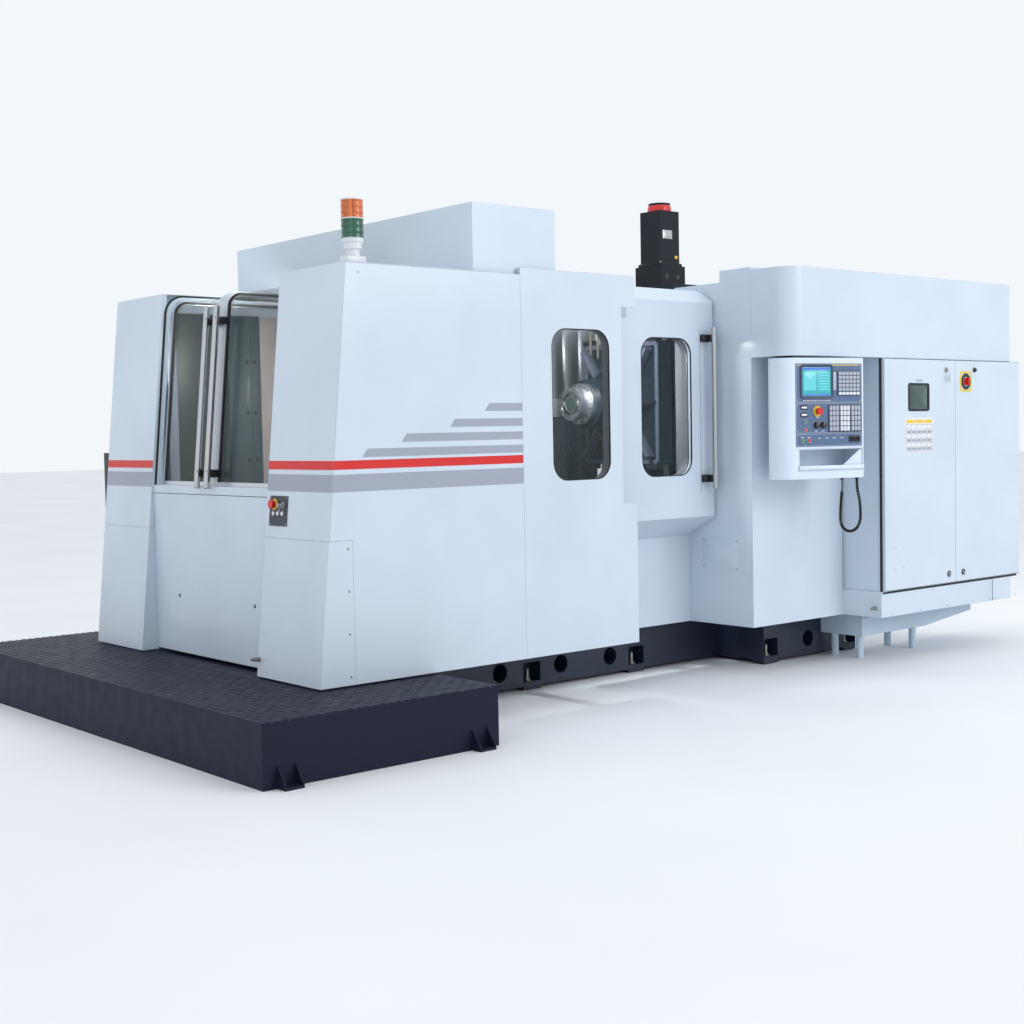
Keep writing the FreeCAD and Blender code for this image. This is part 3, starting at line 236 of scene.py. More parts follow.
def surface(grid, wrap_u=True, wrap_v=False, caps=True):
    """Points and faces of a grid of points: neighbours along both parameters are joined into quads, and
    the two ends of the second parameter are closed with a fan about their middle."""
    rows, columns = grid.shape[:2]
    points = grid.reshape(-1, 3)
    i, j = np.meshgrid(np.arange(rows if wrap_u else rows - 1),
                       np.arange(columns if wrap_v else columns - 1),
                       indexing="ij")
    a = i * columns + j
    b = (i + 1) % rows * columns + j
    c = (i + 1) % rows * columns + (j + 1) % columns
    d = i * columns + (j + 1) % columns
    quads = np.stack([a, b, c, d], axis=-1).reshape(-1, 4)
    if caps and wrap_u and not wrap_v:
        first, last = len(points), len(points) + 1
        points = np.vstack([points, grid[:, 0].mean(axis=0), grid[:, -1].mean(axis=0)])
        k = np.arange(rows)
        near = np.stack([k * columns, np.full(rows, first), np.full(rows, first), (k + 1) % rows * columns],
                        axis=-1)
        far = np.stack([(k + 1) % rows * columns + columns - 1, np.full(rows, last), np.full(rows, last),
                        k * columns + columns - 1], axis=-1)
        quads = np.vstack([quads, near, far])
    return points, faces_out(points, quads)


def merged(parts):
    """Several pairs of points and faces as one pair."""
    points, quads, count = [], [], 0
    for p, q in parts:
        points.append(p)
        quads.append(q + count)
        count += len(p)
    return np.vstack(points), np.vstack(quads)


def add(name, parts, finish, body, replaces=(), smooth=True, slot=None):
    """Make one object from surfaces, give it a named finish and let it ride on a body."""
    points, quads = merged(parts if isinstance(parts, list) else [parts])
    mesh = bpy.data.meshes.new(name)
    faces = [tuple(dict.fromkeys(q)) for q in quads.tolist()]
    mesh.from_pydata(points.tolist(), [], [f for f in faces if len(f) > 2])
    mesh.materials.append(FINISHES[finish])
    mesh.update()
    if smooth:
        mesh.shade_smooth()
        mesh.set_sharp_from_angle(angle=math.radians(35))
    piece = bpy.data.objects.new(name, mesh)
    bpy.context.scene.collection.objects.link(piece)
    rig.ride(piece, body)
    if replaces:
        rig.replaces(piece, *replaces)
    if slot:
        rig.slot(piece, slot)
    return piece


def rounded_outline(width, height, radius, steps=6):
    """A rounded rectangle about its middle: each corner is a quarter circle about the corner's centre."""
    radius = min(radius, width / 2, height / 2)
    turn = np.linspace(0, math.pi / 2, steps + 1)
    corners = []
    for k, (sx, sy) in enumerate(((1, 1), (-1, 1), (-1, -1), (1, -1))):
        angle = turn + k * math.pi / 2
        corners.append(np.stack([sx * (width / 2 - radius) + radius * np.cos(angle),
                                 sy * (height / 2 - radius) + radius * np.sin(angle)], axis=-1))
    return np.vstack(corners)


def scaled_outline(width, height, radius, inset, steps=6):
    """The same rounded rectangle drawn in by an inset, its corner radius smaller by as much."""
    return rounded_outline(width - 2 * inset, height - 2 * inset, max(radius - inset, 0.0001), steps)


def slab(face, u, v, width, height, low, top, radius=0.002, edge=0.0008, steps=5):
    """A flat plate with rounded corners and a small round along its front edge: the outline, swept along
    the normal from low to top, draws in by edge * (1 - cos t) while it rises by edge * sin t."""
    turn = np.linspace(0, math.pi / 2, 3)
    levels = [(0.0, low)] + [(edge * (1 - math.cos(t)), top - edge + edge * math.sin(t)) for t in turn]
    rings = []
    for inset, level in levels:
        ring = scaled_outline(width, height, radius, inset, steps)
        rings.append(face.at(u + ring[:, 0], v + ring[:, 1], level))
    return surface(np.stack(rings, axis=1))


def ring(face, u, v, width, height, radius, profile, steps=6):
    """A frame round a rounded rectangle: a closed profile of (outwards, along the normal) pairs is carried
    round the outline."""
    columns = []
    for out, level in profile:
        line = scaled_outline(width, height, radius, -out, steps)
        columns.append(face.at(u + line[:, 0], v + line[:, 1], level))
    return surface(np.stack(columns, axis=1), wrap_v=True)


def box_profile(inner, outer, low, top, soft=0.001):
    """The profile of a frame's bar: a rectangle between two offsets and two levels with chamfered front
    corners."""
    return [(inner, low), (inner, top - soft), (inner + soft, top), (outer - soft, top), (outer, top - soft),
            (outer, low)]


def turned(centre, axis, profile, steps=32, start=0.0):
    """A turned piece: (radius, height) pairs carried round an axis, closed at both ends."""
    axis = np.array(axis, float) / np.linalg.norm(axis)
    side = np.cross(axis, Z if abs(axis[2]) < 0.9 else X)
    side /= np.linalg.norm(side)
    other = np.cross(axis, side)
    turn = start + np.arange(steps) * 2 * math.pi / steps
    direction = np.cos(turn)[:, None] * side + np.sin(turn)[:, None] * other
    radius, height = np.array(profile, float).T
    grid = np.array(centre) + direction[:, None] * radius[None, :, None] + (height[:, None] * axis)[None]
    return surface(grid)


def bar(low, high, soft=0.0015, steps=2):
    """A rounded block between two corners: the middle of each corner's ball plus the ball's radius along a
    direction that runs over a sphere."""
    low, high = np.array(low, float), np.array(high, float)
    half, middle = (high - low) / 2, (high + low) / 2
    soft = min(soft, *(half * 0.98))
    quarter = np.linspace(0, math.pi / 2, steps + 1)
    turn = np.concatenate([quarter + k * math.pi / 2 for k in range(4)])
    sign_x = np.repeat([1, -1, -1, 1], steps + 1)
    sign_y = np.repeat([1, 1, -1, -1], steps + 1)
    rise = np.concatenate([quarter - math.pi / 2, quarter])
    sign_z = np.repeat([-1, 1], steps + 1)
    direction = np.stack([np.cos(turn)[:, None] * np.cos(rise), np.sin(turn)[:, None] * np.cos(rise),
                          np.broadcast_to(np.sin(rise), (len(turn), len(rise)))], axis=-1)
    inner = np.stack([np.broadcast_to(sign_x[:, None] * (half[0] - soft), direction.shape[:2]),
                      np.broadcast_to(sign_y[:, None] * (half[1] - soft), direction.shape[:2]),
                      np.broadcast_to(sign_z * (half[2] - soft), direction.shape[:2])], axis=-1)
    return surface(middle + inner + soft * direction)


def beam(face, u, v, n, soft=0.0015, steps=2):
    """A rounded block in a working plane, between two places along each of its directions."""
    points, quads = bar((u[0], v[0], n[0]), (u[1], v[1], n[1]), soft, steps)
    placed = face.at(points[:, 0], points[:, 1], points[:, 2])
    return placed, faces_out(placed, quads)


def swept(path, radius, steps=10, flat=1.0):
    """A round bar along a path: circles square to the path, each carried from the last with the least
    turning. The radius may be one number or one for each point."""
    path = np.array(path, float)
    radius = np.broadcast_to(np.asarray(radius, float), len(path))
    ahead = np.gradient(path, axis=0)
    ahead /= np.linalg.norm(ahead, axis=1)[:, None]
    side = np.cross(ahead[0], Z if abs(ahead[0][2]) < 0.9 else X)
    sides = []
    for direction in ahead:
        side = side - direction * side.dot(direction)
        side /= np.linalg.norm(side)
        sides.append(side)
    sides = np.array(sides)
    others = np.cross(ahead, sides)
    turn = np.arange(steps) * 2 * math.pi / steps
    grid = (path[None] + radius[None, :, None] * (np.cos(turn)[:, None, None] * sides[None]
            + flat * np.sin(turn)[:, None, None] * others[None]))
    return surface(grid)


def hex_bolt(centre, axis, across, height, washer=0.0):
    """A hexagon bolt head with a chamfered top, on a round washer where one is asked for."""
    flat = across / math.sqrt(3)
    head = turned(centre, axis, [(flat, 0), (flat, height * 0.85), (flat * 0.82, height)], steps=6)
    if not washer:
        return [head]
    return [head,
            turned(centre, axis, [(washer, 0), (washer, height * 0.18), (washer * 0.9, height * 0.22)], 20)]


def screw(centre, axis, radius=0.006, height=0.003):
    """A low domed screw head with a socket: its profile rises as a quarter of an ellipse and dips inside."""
    turn = np.linspace(0, math.pi / 2, 4)
    dome = [(radius * (0.45 + 0.55 * math.cos(t)), height * math.sin(t)) for t in turn]
    return turned(centre, axis, [(radius, -0.0005)] + dome + [(radius * 0.4, height * 0.35)], steps=16)


# ------------------------------------------------------------------ materials
FINISHES = {}


def shader(name):
    """A new material under its name in FINISHES, its node tree and its principled shader."""
    finish = FINISHES[name] = bpy.data.materials.new(name)
    finish.use_nodes = True
    tree = finish.node_tree
    return finish, tree, tree.nodes["Principled BSDF"]


def noise(tree, scale, detail=3.0, stretch=(1, 1, 1)):
    """A noise over the object's own coordinates, stretched along its axes."""
    place = tree.nodes.new("ShaderNodeTexCoord")
    mapping = tree.nodes.new("ShaderNodeMapping")
    mapping.inputs["Scale"].default_value = stretch
    tree.links.new(place.outputs["Object"], mapping.inputs["Vector"])
    texture = tree.nodes.new("ShaderNodeTexNoise")
    texture.inputs["Scale"].default_value = scale
    texture.inputs["Detail"].default_value = detail
    tree.links.new(mapping.outputs["Vector"], texture.inputs["Vector"])
    return texture.outputs["Fac"]


def ranged(tree, value, low, high, start=0.3, end=0.7):
    """A value carried from one range to another."""
    node = tree.nodes.new("ShaderNodeMapRange")
    node.inputs["From Min"].default_value = start
    node.inputs["From Max"].default_value = end
    node.inputs["To Min"].default_value = low
    node.inputs["To Max"].default_value = high
    tree.links.new(value, node.inputs["Value"])
    return node.outputs["Result"]


def mixed(tree, factor, first, second):
    """A colour between two, by a factor."""
    node = tree.nodes.new("ShaderNodeMix")
    node.data_type = "RGBA"
    tree.links.new(factor, node.inputs["Factor"])
    for socket, colour in ((node.inputs["A"], first), (node.inputs["B"], second)):
        if isinstance(colour, bpy.types.NodeSocket):
            tree.links.new(colour, socket)
        else:
            socket.default_value = (*colour, 1)
    return node.outputs["Result"]


def relief(tree, height, depth, strength=0.3, soft_edge=0.0, below=None):
    """A bump of a given depth, over rounded edges where a radius is given."""
    bump = tree.nodes.new("ShaderNodeBump")
    bump.inputs["Strength"].default_value = strength
    bump.inputs["Distance"].default_value = depth
    tree.links.new(height, bump.inputs["Height"])
    if below is not None:
        tree.links.new(below, bump.inputs["Normal"])
    elif soft_edge:
        bevel = tree.nodes.new("ShaderNodeBevel")
        bevel.samples = 4
        bevel.inputs["Radius"].default_value = soft_edge
        tree.links.new(bevel.outputs["Normal"], bump.inputs["Normal"])
    return bump.outputs["Normal"]


def shade(colour, amount):
    """A colour made lighter or darker."""
    return tuple(min(1.0, c * amount) for c in colour)


def paint(name, colour, rough=0.35, peel=0.0003, grain=900, drift=0.05, coat=0.0, soft_edge=0.0,
          metallic=0.0,
          strength=0.25, stretch=(1, 1, 1), gloss=0.5):
    """A sprayed or moulded finish: slow drifts of tone, a fine uneven skin and a varying gloss."""
    _, tree, bsdf = shader(name)
    slow = noise(tree, 2.2, 4)
    tone = mixed(tree, ranged(tree, slow, 0, 1), shade(colour, 1 - drift), shade(colour, 1 + drift * 0.6))
    tree.links.new(tone, bsdf.inputs["Base Color"])
    tree.links.new(ranged(tree, noise(tree, 14, 5), rough - 0.05, rough + 0.06), bsdf.inputs["Roughness"])
    bsdf.inputs["Metallic"].default_value = metallic
    bsdf.inputs["Specular IOR Level"].default_value = gloss
    bsdf.inputs["Coat Weight"].default_value = coat
    bsdf.inputs["Coat Roughness"].default_value = 0.12
    skin = relief(tree, noise(tree, grain, 2, stretch), peel, strength, soft_edge)
    tree.links.new(skin, bsdf.inputs["Normal"])
    return bsdf


def brushed(name, colour, rough=0.28, along=(40, 40, 1), soft_edge=0.0):
    """Bare metal with fine drawn lines along one direction."""
    _, tree, bsdf = shader(name)
    lines = noise(tree, 60, 4, along)
    tone = mixed(tree, ranged(tree, lines, 0, 1), shade(colour, 0.85), shade(colour, 1.08))
    tree.links.new(tone, bsdf.inputs["Base Color"])
    bsdf.inputs["Metallic"].default_value = 1.0
    tree.links.new(ranged(tree, lines, rough - 0.06, rough + 0.08), bsdf.inputs["Roughness"])
    tree.links.new(relief(tree, lines, 0.0002, 0.2, soft_edge), bsdf.inputs["Normal"])


def clear(name, colour, alpha, rough=0.03):
    """A clear pane: faintly tinted, mostly let through, with a sharp gloss and very light smears."""
    finish, tree, bsdf = shader(name)
    bsdf.inputs["Base Color"].default_value = (*colour, 1)
    bsdf.inputs["Specular IOR Level"].default_value = 0.6
    tree.links.new(ranged(tree, noise(tree, 9, 5), rough, rough + 0.05), bsdf.inputs["Roughness"])
    tree.links.new(ranged(tree, noise(tree, 3, 4), alpha - 0.03, alpha + 0.04), bsdf.inputs["Alpha"])
    finish.surface_render_method = "BLENDED"


def glowing(name, colour, light):
    """A lit face."""
    bsdf = paint(name, colour, rough=0.2)
    bsdf.inputs["Emission Color"].default_value = (*colour, 1)
    bsdf.inputs["Emission Strength"].default_value = light


def lens_glass(name, colour):
    """A moulded coloured lens: fine upright ribs of darker and lighter tone, with a strong gloss."""
    _, tree, bsdf = shader(name)
    ribs = noise(tree, 90, 1, (1, 1, 0.02))
    tone = mixed(tree, ranged(tree, ribs, 0, 1), shade(colour, 0.55), shade(colour, 1.5))
    tree.links.new(tone, bsdf.inputs["Base Color"])
    tree.links.new(ranged(tree, noise(tree, 20, 3), 0.12, 0.22), bsdf.inputs["Roughness"])
    bsdf.inputs["Coat Weight"].default_value = 0.5
    tree.links.new(relief(tree, ribs, 0.002, 0.35), bsdf.inputs["Normal"])


# ------------------------------------------------------------------ sizes and colours
def colour(title, about, value):
    """A colour that can be changed in the sidebar."""
    return bpy.props.FloatVectorProperty(name=title, description=about, default=value, subtype="COLOR",
                                         size=3, min=0.0, max=1.0)


def length(title, about, value):
    """A length that can be changed in the sidebar, in metres."""
    return bpy.props.FloatProperty(name=title, description=about, default=value, subtype="DISTANCE",
                                   unit="LENGTH", min=0.0, precision=4)


class MachineColours(bpy.types.PropertyGroup):
    """Colours of the machine's finishes."""
    enclosure: colour("Enclosure", "Pale sprayed paint of the casings", (0.60, 0.685, 0.78))
    bed: colour("Bed", "Dark slate paint of the bed", (0.012, 0.020, 0.045))
    platform: colour("Platform", "Near-black paint of the platform", (0.010, 0.012, 0.030))
    tank: colour("Tank", "Paint of the coolant tank", (0.52, 0.64, 0.76))
    red: colour("Red band", "Red band and red plastic", (0.66, 0.010, 0.010))
    grey_band: colour("Grey band", "Grey band and speed stripes", (0.34, 0.37, 0.45))
    panel: colour("Control panel", "Blue plate of the pendant's panel", (0.085, 0.145, 0.27))
    screen: colour("Screen", "Lit face of the display", (0.03, 0.30, 0.33))
    casting: colour("Castings", "Slate paint of the column and headstock", (0.009, 0.016, 0.028))
    green: colour("Green", "Green plastic", (0.01, 0.30, 0.12))
    amber: colour("Amber", "Amber lens", (0.60, 0.13, 0.02))
    yellow: colour("Yellow", "Yellow rings and tags", (0.80, 0.55, 0.04))


class MachineSizes(bpy.types.PropertyGroup):
    """Sizes of the trims and small parts, and the camera."""
    red_band_low: length("Red band", "Height of the red band's lower edge", 1.250)
    red_band_width: length("Red band width", "Width of the red band", 0.040)
    grey_band_low: length("Grey band", "Height of the grey band's lower edge", 1.150)
    grey_band_width: length("Grey band width", "Width of the grey band", 0.078)
    film: length("Film", "Thickness of the coloured bands", 0.0006)
    lead_coil: length("Lead coil", "Outer diameter of the curly lead", 0.018)
    lead_wire: length("Lead wire", "Diameter of the curly lead's own cable", 0.0055)
    lead_pitch: length("Lead pitch", "Distance between the curly lead's turns", 0.0068)
    lens: bpy.props.FloatProperty(name="Lens", description="Focal length of the camera", default=51.47,
                                  unit="CAMERA", min=1.0)
    camera_place: bpy.props.FloatVectorProperty(name="Camera", description="Place of the camera",
                                                default=(-5.790, -6.600, 1.400), subtype="TRANSLATION")
    camera_turn: bpy.props.FloatProperty(name="Camera turn", description="Turn from +Y towards +X",
                                         default=0.702184, subtype="ANGLE")
    camera_dip: bpy.props.FloatProperty(name="Camera dip", description="Angle below the horizon",
                                        default=0.054098, subtype="ANGLE")
    camera_roll: bpy.props.FloatProperty(name="Camera roll", description="Turn about the line of sight",
                                         default=-0.019476, subtype="ANGLE")


class StageOperator(bpy.types.Operator):
    """Pale floor, soft studio lights and the camera."""
    bl_idname = "machine.stage"
    bl_label = "Stage"

    def execute(self, context):
        sizes = context.scene.machine_sizes
        finish, tree, bsdf = shader("stage_floor")
        tone = mixed(tree, ranged(tree, noise(tree, 0.7, 3), 0, 1), (0.80, 0.81, 0.83), (0.84, 0.85, 0.87))
        tree.links.new(tone, bsdf.inputs["Base Color"])
        bsdf.inputs["Roughness"].default_value = 0.75
        mesh = bpy.data.meshes.new("stage_floor")
        reach = 60.0
        mesh.from_pydata([(-reach, -reach, FLOOR), (reach, -reach, FLOOR), (reach, reach, FLOOR),
                          (-reach, reach, FLOOR)], [], [(0, 1, 2, 3)])
        mesh.materials.append(finish)
        floor = bpy.data.objects.new("stage_floor", mesh)
        context.scene.collection.objects.link(floor)
        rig.stage(floor)
        world = bpy.data.worlds.new("studio")
        context.scene.world = world
        world.use_nodes = True
        background = world.node_tree.nodes["Background"]
        background.inputs["Color"].default_value = (0.92, 0.96, 1.0, 1)
        background.inputs["Strength"].default_value = 0.97
        self.light("key", (3.5, -10.5, 5.5), (0.6, 0.0, 1.2), 300, 5.0, (1.0, 0.995, 0.98))
        self.light("fill", (-9.5, -3.5, 4.5), (-1.5, 0.0, 1.2), 20, 5.0, (0.92, 0.96, 1.0))
        self.light("top", (1.0, 0.5, 8.0), (0.5, 0.0, 0.0), 100, 7.0, (0.97, 0.98, 1.0))
        self.light("work_lamp", (-0.25, -0.42, 2.04), (0.30, 0.0, 1.45), 24, 0.35, (0.95, 0.98, 1.0))
        self.light("station_lamp", (-1.75, 0.25, 2.02), (-1.5, 0.9, 1.2), 9, 0.35, (0.95, 1.0, 0.98))
        camera = bpy.data.cameras.new("camera")
        camera.lens = sizes.lens
        camera.sensor_width = 36
        camera.clip_end = 200
        holder = bpy.data.objects.new("camera", camera)
        context.scene.collection.objects.link(holder)
        turn, dip, roll = sizes.camera_turn, sizes.camera_dip, sizes.camera_roll
        sight = Vector((math.sin(turn) * math.cos(dip), math.cos(turn) * math.cos(dip), -math.sin(dip)))
        level = Vector((math.cos(turn), -math.sin(turn), 0))
        rise = level.cross(sight)
        right = level * math.cos(roll) + rise * math.sin(roll)
        upward = rise * math.cos(roll) - level * math.sin(roll)
        holder.matrix_world = (Matrix.Translation(sizes.camera_place)
                               @ Matrix((right, upward, -sight)).transposed().to_4x4())
        context.scene.camera = holder
        context.scene.view_settings.view_transform = "Standard"
        return {"FINISHED"}

    def light(self, name, place, target, power, width, tint):
        """A square soft light at a place, aimed at a point."""
        lamp = bpy.data.lights.new(name, "AREA")
        lamp.energy = power
        lamp.size = width
        lamp.color = tint
        holder = bpy.data.objects.new(name, lamp)
        bpy.context.scene.collection.objects.link(holder)
        aim = (Vector(target) - Vector(place)).to_track_quat("-Z", "Y")
        holder.matrix_world = Matrix.Translation(place) @ aim.to_matrix().to_4x4()


class FinishOperator(bpy.types.Operator):
    """Materials, and the finish of every piece of the construction that shows as it is."""
    bl_idname = "machine.finishes"
    bl_label = "Finishes"

    def execute(self, context):
        tones = context.scene.machine_colours
        edge = 0.003
        paint("enclosure_paint", tones.enclosure[:], 0.34, coat=0.25, soft_edge=edge)
        paint("bed_paint", tones.bed[:], 0.45, peel=0.0012, grain=160, soft_edge=edge, coat=0.1)
        paint("platform_paint", tones.platform[:], 0.5, peel=0.0006, grain=240, soft_edge=edge, gloss=0.18)
        paint("tank_paint", tones.tank[:], 0.4, soft_edge=edge)
        paint("pendant_paint", shade(tones.enclosure[:], 1.12), 0.33, coat=0.2, soft_edge=0.004)
        paint("casting_paint", tones.casting[:], 0.45, peel=0.0010, grain=160, soft_edge=0.004, gloss=0.3)
        paint("motor_paint", (0.008, 0.011, 0.018), 0.4, grain=500, soft_edge=0.003, gloss=0.25)
        paint("panel_blue", tones.panel[:], 0.38, grain=1400, soft_edge=0.001)
        paint("station_plate_paint", (0.03, 0.035, 0.05), 0.4, grain=1200, soft_edge=0.0008)
        paint("red_plastic", tones.red[:], 0.28, peel=0.0001, coat=0.3)
        paint("green_plastic", tones.green[:], 0.25, peel=0.0001, coat=0.3)
        paint("white_plastic", (0.75, 0.77, 0.80), 0.3, peel=0.0001, coat=0.2)
        paint("yellow_plastic", tones.yellow[:], 0.35, peel=0.0001)
        paint("black_plastic", (0.012, 0.012, 0.014), 0.38, peel=0.0002, grain=1500)
        paint("black_rubber", (0.010, 0.010, 0.011), 0.62, peel=0.0003, grain=700, strength=0.4)
        paint("lamp_plastic", (0.70, 0.72, 0.75), 0.3, peel=0.0001)
        paint("key_grey", (0.42, 0.46, 0.54), 0.42, peel=0.0001)
        paint("key_dark", (0.035, 0.055, 0.11), 0.4, peel=0.0001)
        paint("red_film", tones.red[:], 0.32, peel=0.0001, drift=0.03)
        paint("grey_film", tones.grey_band[:], 0.34, peel=0.0001, drift=0.03)
        # Dark paint of the linings and joints; where it covers the bore, the bolt holes and the spindle's bolts it is
        # painted shade.
        paint("inner_dark", (0.030, 0.050, 0.046), 0.42, peel=0.0003, grain=400)
        paint("inner_wall", (0.22, 0.23, 0.25), 0.6, peel=0.0004, grain=300, gloss=0.25)
        paint("beige_wall", (0.50, 0.42, 0.40), 0.5, peel=0.0004, grain=300)
        paint("hose_jacket", (0.30, 0.27, 0.19), 0.4, peel=0.0002, grain=800)
        paint("pallet_iron", (0.20, 0.21, 0.22), 0.35, peel=0.0003, metallic=0.8, grain=400, soft_edge=0.002)
        paint("zinc_bolt", (0.30, 0.29, 0.27), 0.36, peel=0.0003, metallic=0.85, grain=500)
        brushed("chrome_tube", (0.52, 0.53, 0.55), 0.16, (30, 30, 2))
        brushed("spindle_steel", (0.80, 0.81, 0.83), 0.30, (2, 40, 40), 0.001)
        brushed("latch_steel", (0.55, 0.55, 0.54), 0.3)
        brushed("door_frame_aluminium", (0.66, 0.69, 0.73), 0.34, (30, 30, 1.5), 0.002)
        brushed("cover_steel", (0.58, 0.60, 0.62), 0.3, (1, 30, 30))
        clear("window_glass", (0.05, 0.07, 0.07), 0.16)
        clear("door_pane", (0.06, 0.065, 0.06), 0.20)
        glowing("screen_glow", tones.screen[:], 0.55)
        glowing("screen_bar", (0.05, 0.12, 0.55), 0.5)
        paint("teal_panel", (0.050, 0.085, 0.095), 0.35, peel=0.0004, grain=200, coat=0.15)
        paint("ground_rail", (0.60, 0.60, 0.58), 0.38, peel=0.0001)
        paint("slate_edge", (0.11, 0.13, 0.18), 0.4, peel=0.0003)
        paint("dark_pane", (0.02, 0.06, 0.055), 0.12, peel=0.00005, coat=0.6)
        glowing("screen_pale", (0.10, 0.45, 0.50), 0.5)
        lens_glass("amber_lens", tones.amber[:])
        lens_glass("green_lens", (0.01, 0.10, 0.06))
        for part in frame["record"]["subparts"]:
            slots = NODES[part["node"]].data.materials
            slots.clear()
            slots.append(FINISHES[part["material_slot"]])
        return {"FINISHED"}


# ------------------------------------------------------------------ the handwheel's lead
# places along the pendant's face, and heights, from one end of the lead to the other
LEAD_ROUTE = [(.336, 1.113), (.336, 1.052), (.329, .990), (.323, .926), (.322, .853), (.363, .812),
              (.420, .812),
              (.461, .853), (.463, .926), (.456, .990), (.438, 1.052), (.438, 1.113)]
PENDANT_TURN = math.radians(15)
SWIVEL = np.array(next(j["pos_m"] for j in frame["joints"] if j["name"] == "pendant_swivel"))
PENDANT_U = math.cos(PENDANT_TURN) * X - math.sin(PENDANT_TURN) * Y
PENDANT_N = -math.sin(PENDANT_TURN) * X - math.cos(PENDANT_TURN) * Y
PENDANT_DEPTH = 0.092
PENDANT = Face(SWIVEL * (1, 1, 0) + PENDANT_DEPTH * PENDANT_N, PENDANT_U, Z)


def smooth_step(value):
    """0 below 0, 1 above 1, and 3t^2 - 2t^3 between."""
    t = np.clip(value, 0, 1)
    return t * t * (3 - 2 * t)


def route_line(points):
    """Close points on the smooth spline that has these control points."""
    curve = bpy.data.curves.new("route", "CURVE")
    curve.dimensions = "3D"
    spline = curve.splines.new("NURBS")
    spline.points.add(len(points) - 1)
    for point, place in zip(spline.points, points):
        point.co = (*place, 1)
    spline.order_u = 3
    spline.use_endpoint_u = True
    curve.resolution_u = 24
    holder = bpy.data.objects.new("route", curve)
    bpy.context.scene.collection.objects.link(holder)
    mesh = bpy.data.meshes.new_from_object(holder)
    line = np.array([v.co for v in mesh.vertices])
    bpy.data.objects.remove(holder)
    bpy.data.meshes.remove(mesh)
    bpy.data.curves.remove(curve)
    return line


def evenly(line, count):
    """A line's points, spaced evenly along it."""
    run = np.concatenate([[0], np.cumsum(np.linalg.norm(np.diff(line, axis=0), axis=1))])
    places = np.linspace(0, run[-1], count)
    return np.stack([np.interp(places, run, line[:, k]) for k in range(3)], axis=-1), run[-1]


class LeadOperator(bpy.types.Operator):
    """The handwheel's curly lead: a helix about the hanging route, its radius growing where the drawn-out
    stretch ends."""
    bl_idname = "machine.handwheel_lead"
    bl_label = "Handwheel lead"

    def execute(self, context):
        sizes = context.scene.machine_sizes
        inset = PENDANT_DEPTH - 0.060
        points = [PENDANT.at(s, z, -inset) for s, z in LEAD_ROUTE]
        line, run = evenly(route_line(points), 400)
        turns = run / sizes.lead_pitch
        fine, run = evenly(line, int(turns * 14))
        ahead = np.gradient(fine, axis=0)
        ahead /= np.linalg.norm(ahead, axis=1)[:, None]
        side = np.broadcast_to(PENDANT_N, fine.shape)
        other = np.cross(ahead, side)
        place = np.linspace(0, run, len(fine))
        plain, ramp, drawn = 0.072, 0.008, 0.0014
        full = (sizes.lead_coil - sizes.lead_wire) / 2
        reach = (drawn + (full - drawn) * smooth_step((place - plain) / ramp)
                 * smooth_step((run - place) / ramp))
        angle = place / sizes.lead_pitch * 2 * math.pi
        helix = fine + reach[:, None] * (np.cos(angle)[:, None] * side + np.sin(angle)[:, None] * other)
        lead = add("curly_lead", swept(helix, sizes.lead_wire / 2, 7), "black_rubber", "pendant",
                   ["handwheel_lead"], slot="black_rubber")
        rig.cord(lead, exit=points[0], length=0.685, diameter=sizes.lead_coil, far_end="object",
                stiffness="limp", lay="hanging", path=line)
        glands = [turned(PENDANT.at(s, LEAD_ROUTE[0][1], -inset), -Z, [(0.012, -0.001), (0.012, 0.006),
                                                                      (0.009, 0.008), (0.006, 0.012)], 20)
                  for s in (LEAD_ROUTE[0][0], LEAD_ROUTE[-1][0])]
        add("lead_glands", glands, "black_plastic", "pendant")
        return {"FINISHED"}


# ------------------------------------------------------------------ loading end
LEAN = math.atan2(CASING_HEAD[0] - CASING_FOOT[0], CASING_HEAD[2] - CASING_FOOT[2])
END = Face(CASING_FOOT, -Y, math.sin(LEAN) * X + math.cos(LEAN) * Z)
DEPTH = BACK - FRONT
END_WIDTH = HIGH["near_column_casing"][1] - FRONT


def up_end(z):
    """The place up the leaning face at a height."""
    return (z - CASING_FOOT[2]) / math.cos(LEAN)


def lean_x(z, inset=0.0):
    """Where the leaning face stands at a height, moved inwards."""
    return CASING_FOOT[0] + (z - CASING_FOOT[2]) * math.tan(LEAN) + inset


class BandOperator(bpy.types.Operator):
    """The red and grey bands round the loading end, and the four speed stripes with slanted ends."""
    bl_idname = "machine.bands"
    bl_label = "Bands"

    def execute(self, context):
        sizes = context.scene.machine_sizes
        seam = HIGH["front_side_panel"][0]
        levels = (("red", sizes.red_band_low, sizes.red_band_width),
                  ("grey", sizes.grey_band_low, sizes.grey_band_width))
        for tone, low, width in levels:
            ends = [self.band(END, [(-a, up_end(z)) for a, z in ((first, low), (first + END_WIDTH, low),
                                                                (first + END_WIDTH, low + width),
                                                                (first, low + width))], sizes.film)
                    for first in (0.0, DEPTH - END_WIDTH)]
            side = Face((0, FRONT, 0), X, Z, -Y)
            corners = [(lean_x(low) + 0.0005, low), (seam, low), (seam, low + width),
                       (lean_x(low + width) + 0.0005, low + width)]
            add(f"{tone}_bands", ends + [self.band(side, corners, sizes.film)], f"{tone}_film", "frame",
                smooth=False)
        stripes = []
        slant = 0.030
        for left, low, high in ((0.970, 1.507, 1.545), (0.758, 1.433, 1.471), (0.474, 1.368, 1.406),
                                (0.254, 1.303, 1.341)):
            start = along(left)
            stripes.append(self.band(side, [(start, low), (seam, low), (seam, high), (start + slant, high)],
                                     sizes.film))
        add("speed_stripes", stripes, "grey_film", "frame", smooth=False)
        return {"FINISHED"}

    def band(self, face, corners, film):
        """A flat film over four corners."""
        line = np.array(corners)
        return surface(np.stack([face.at(line[:, 0], line[:, 1], level) for level in (0.00005, film)],
                                axis=1))


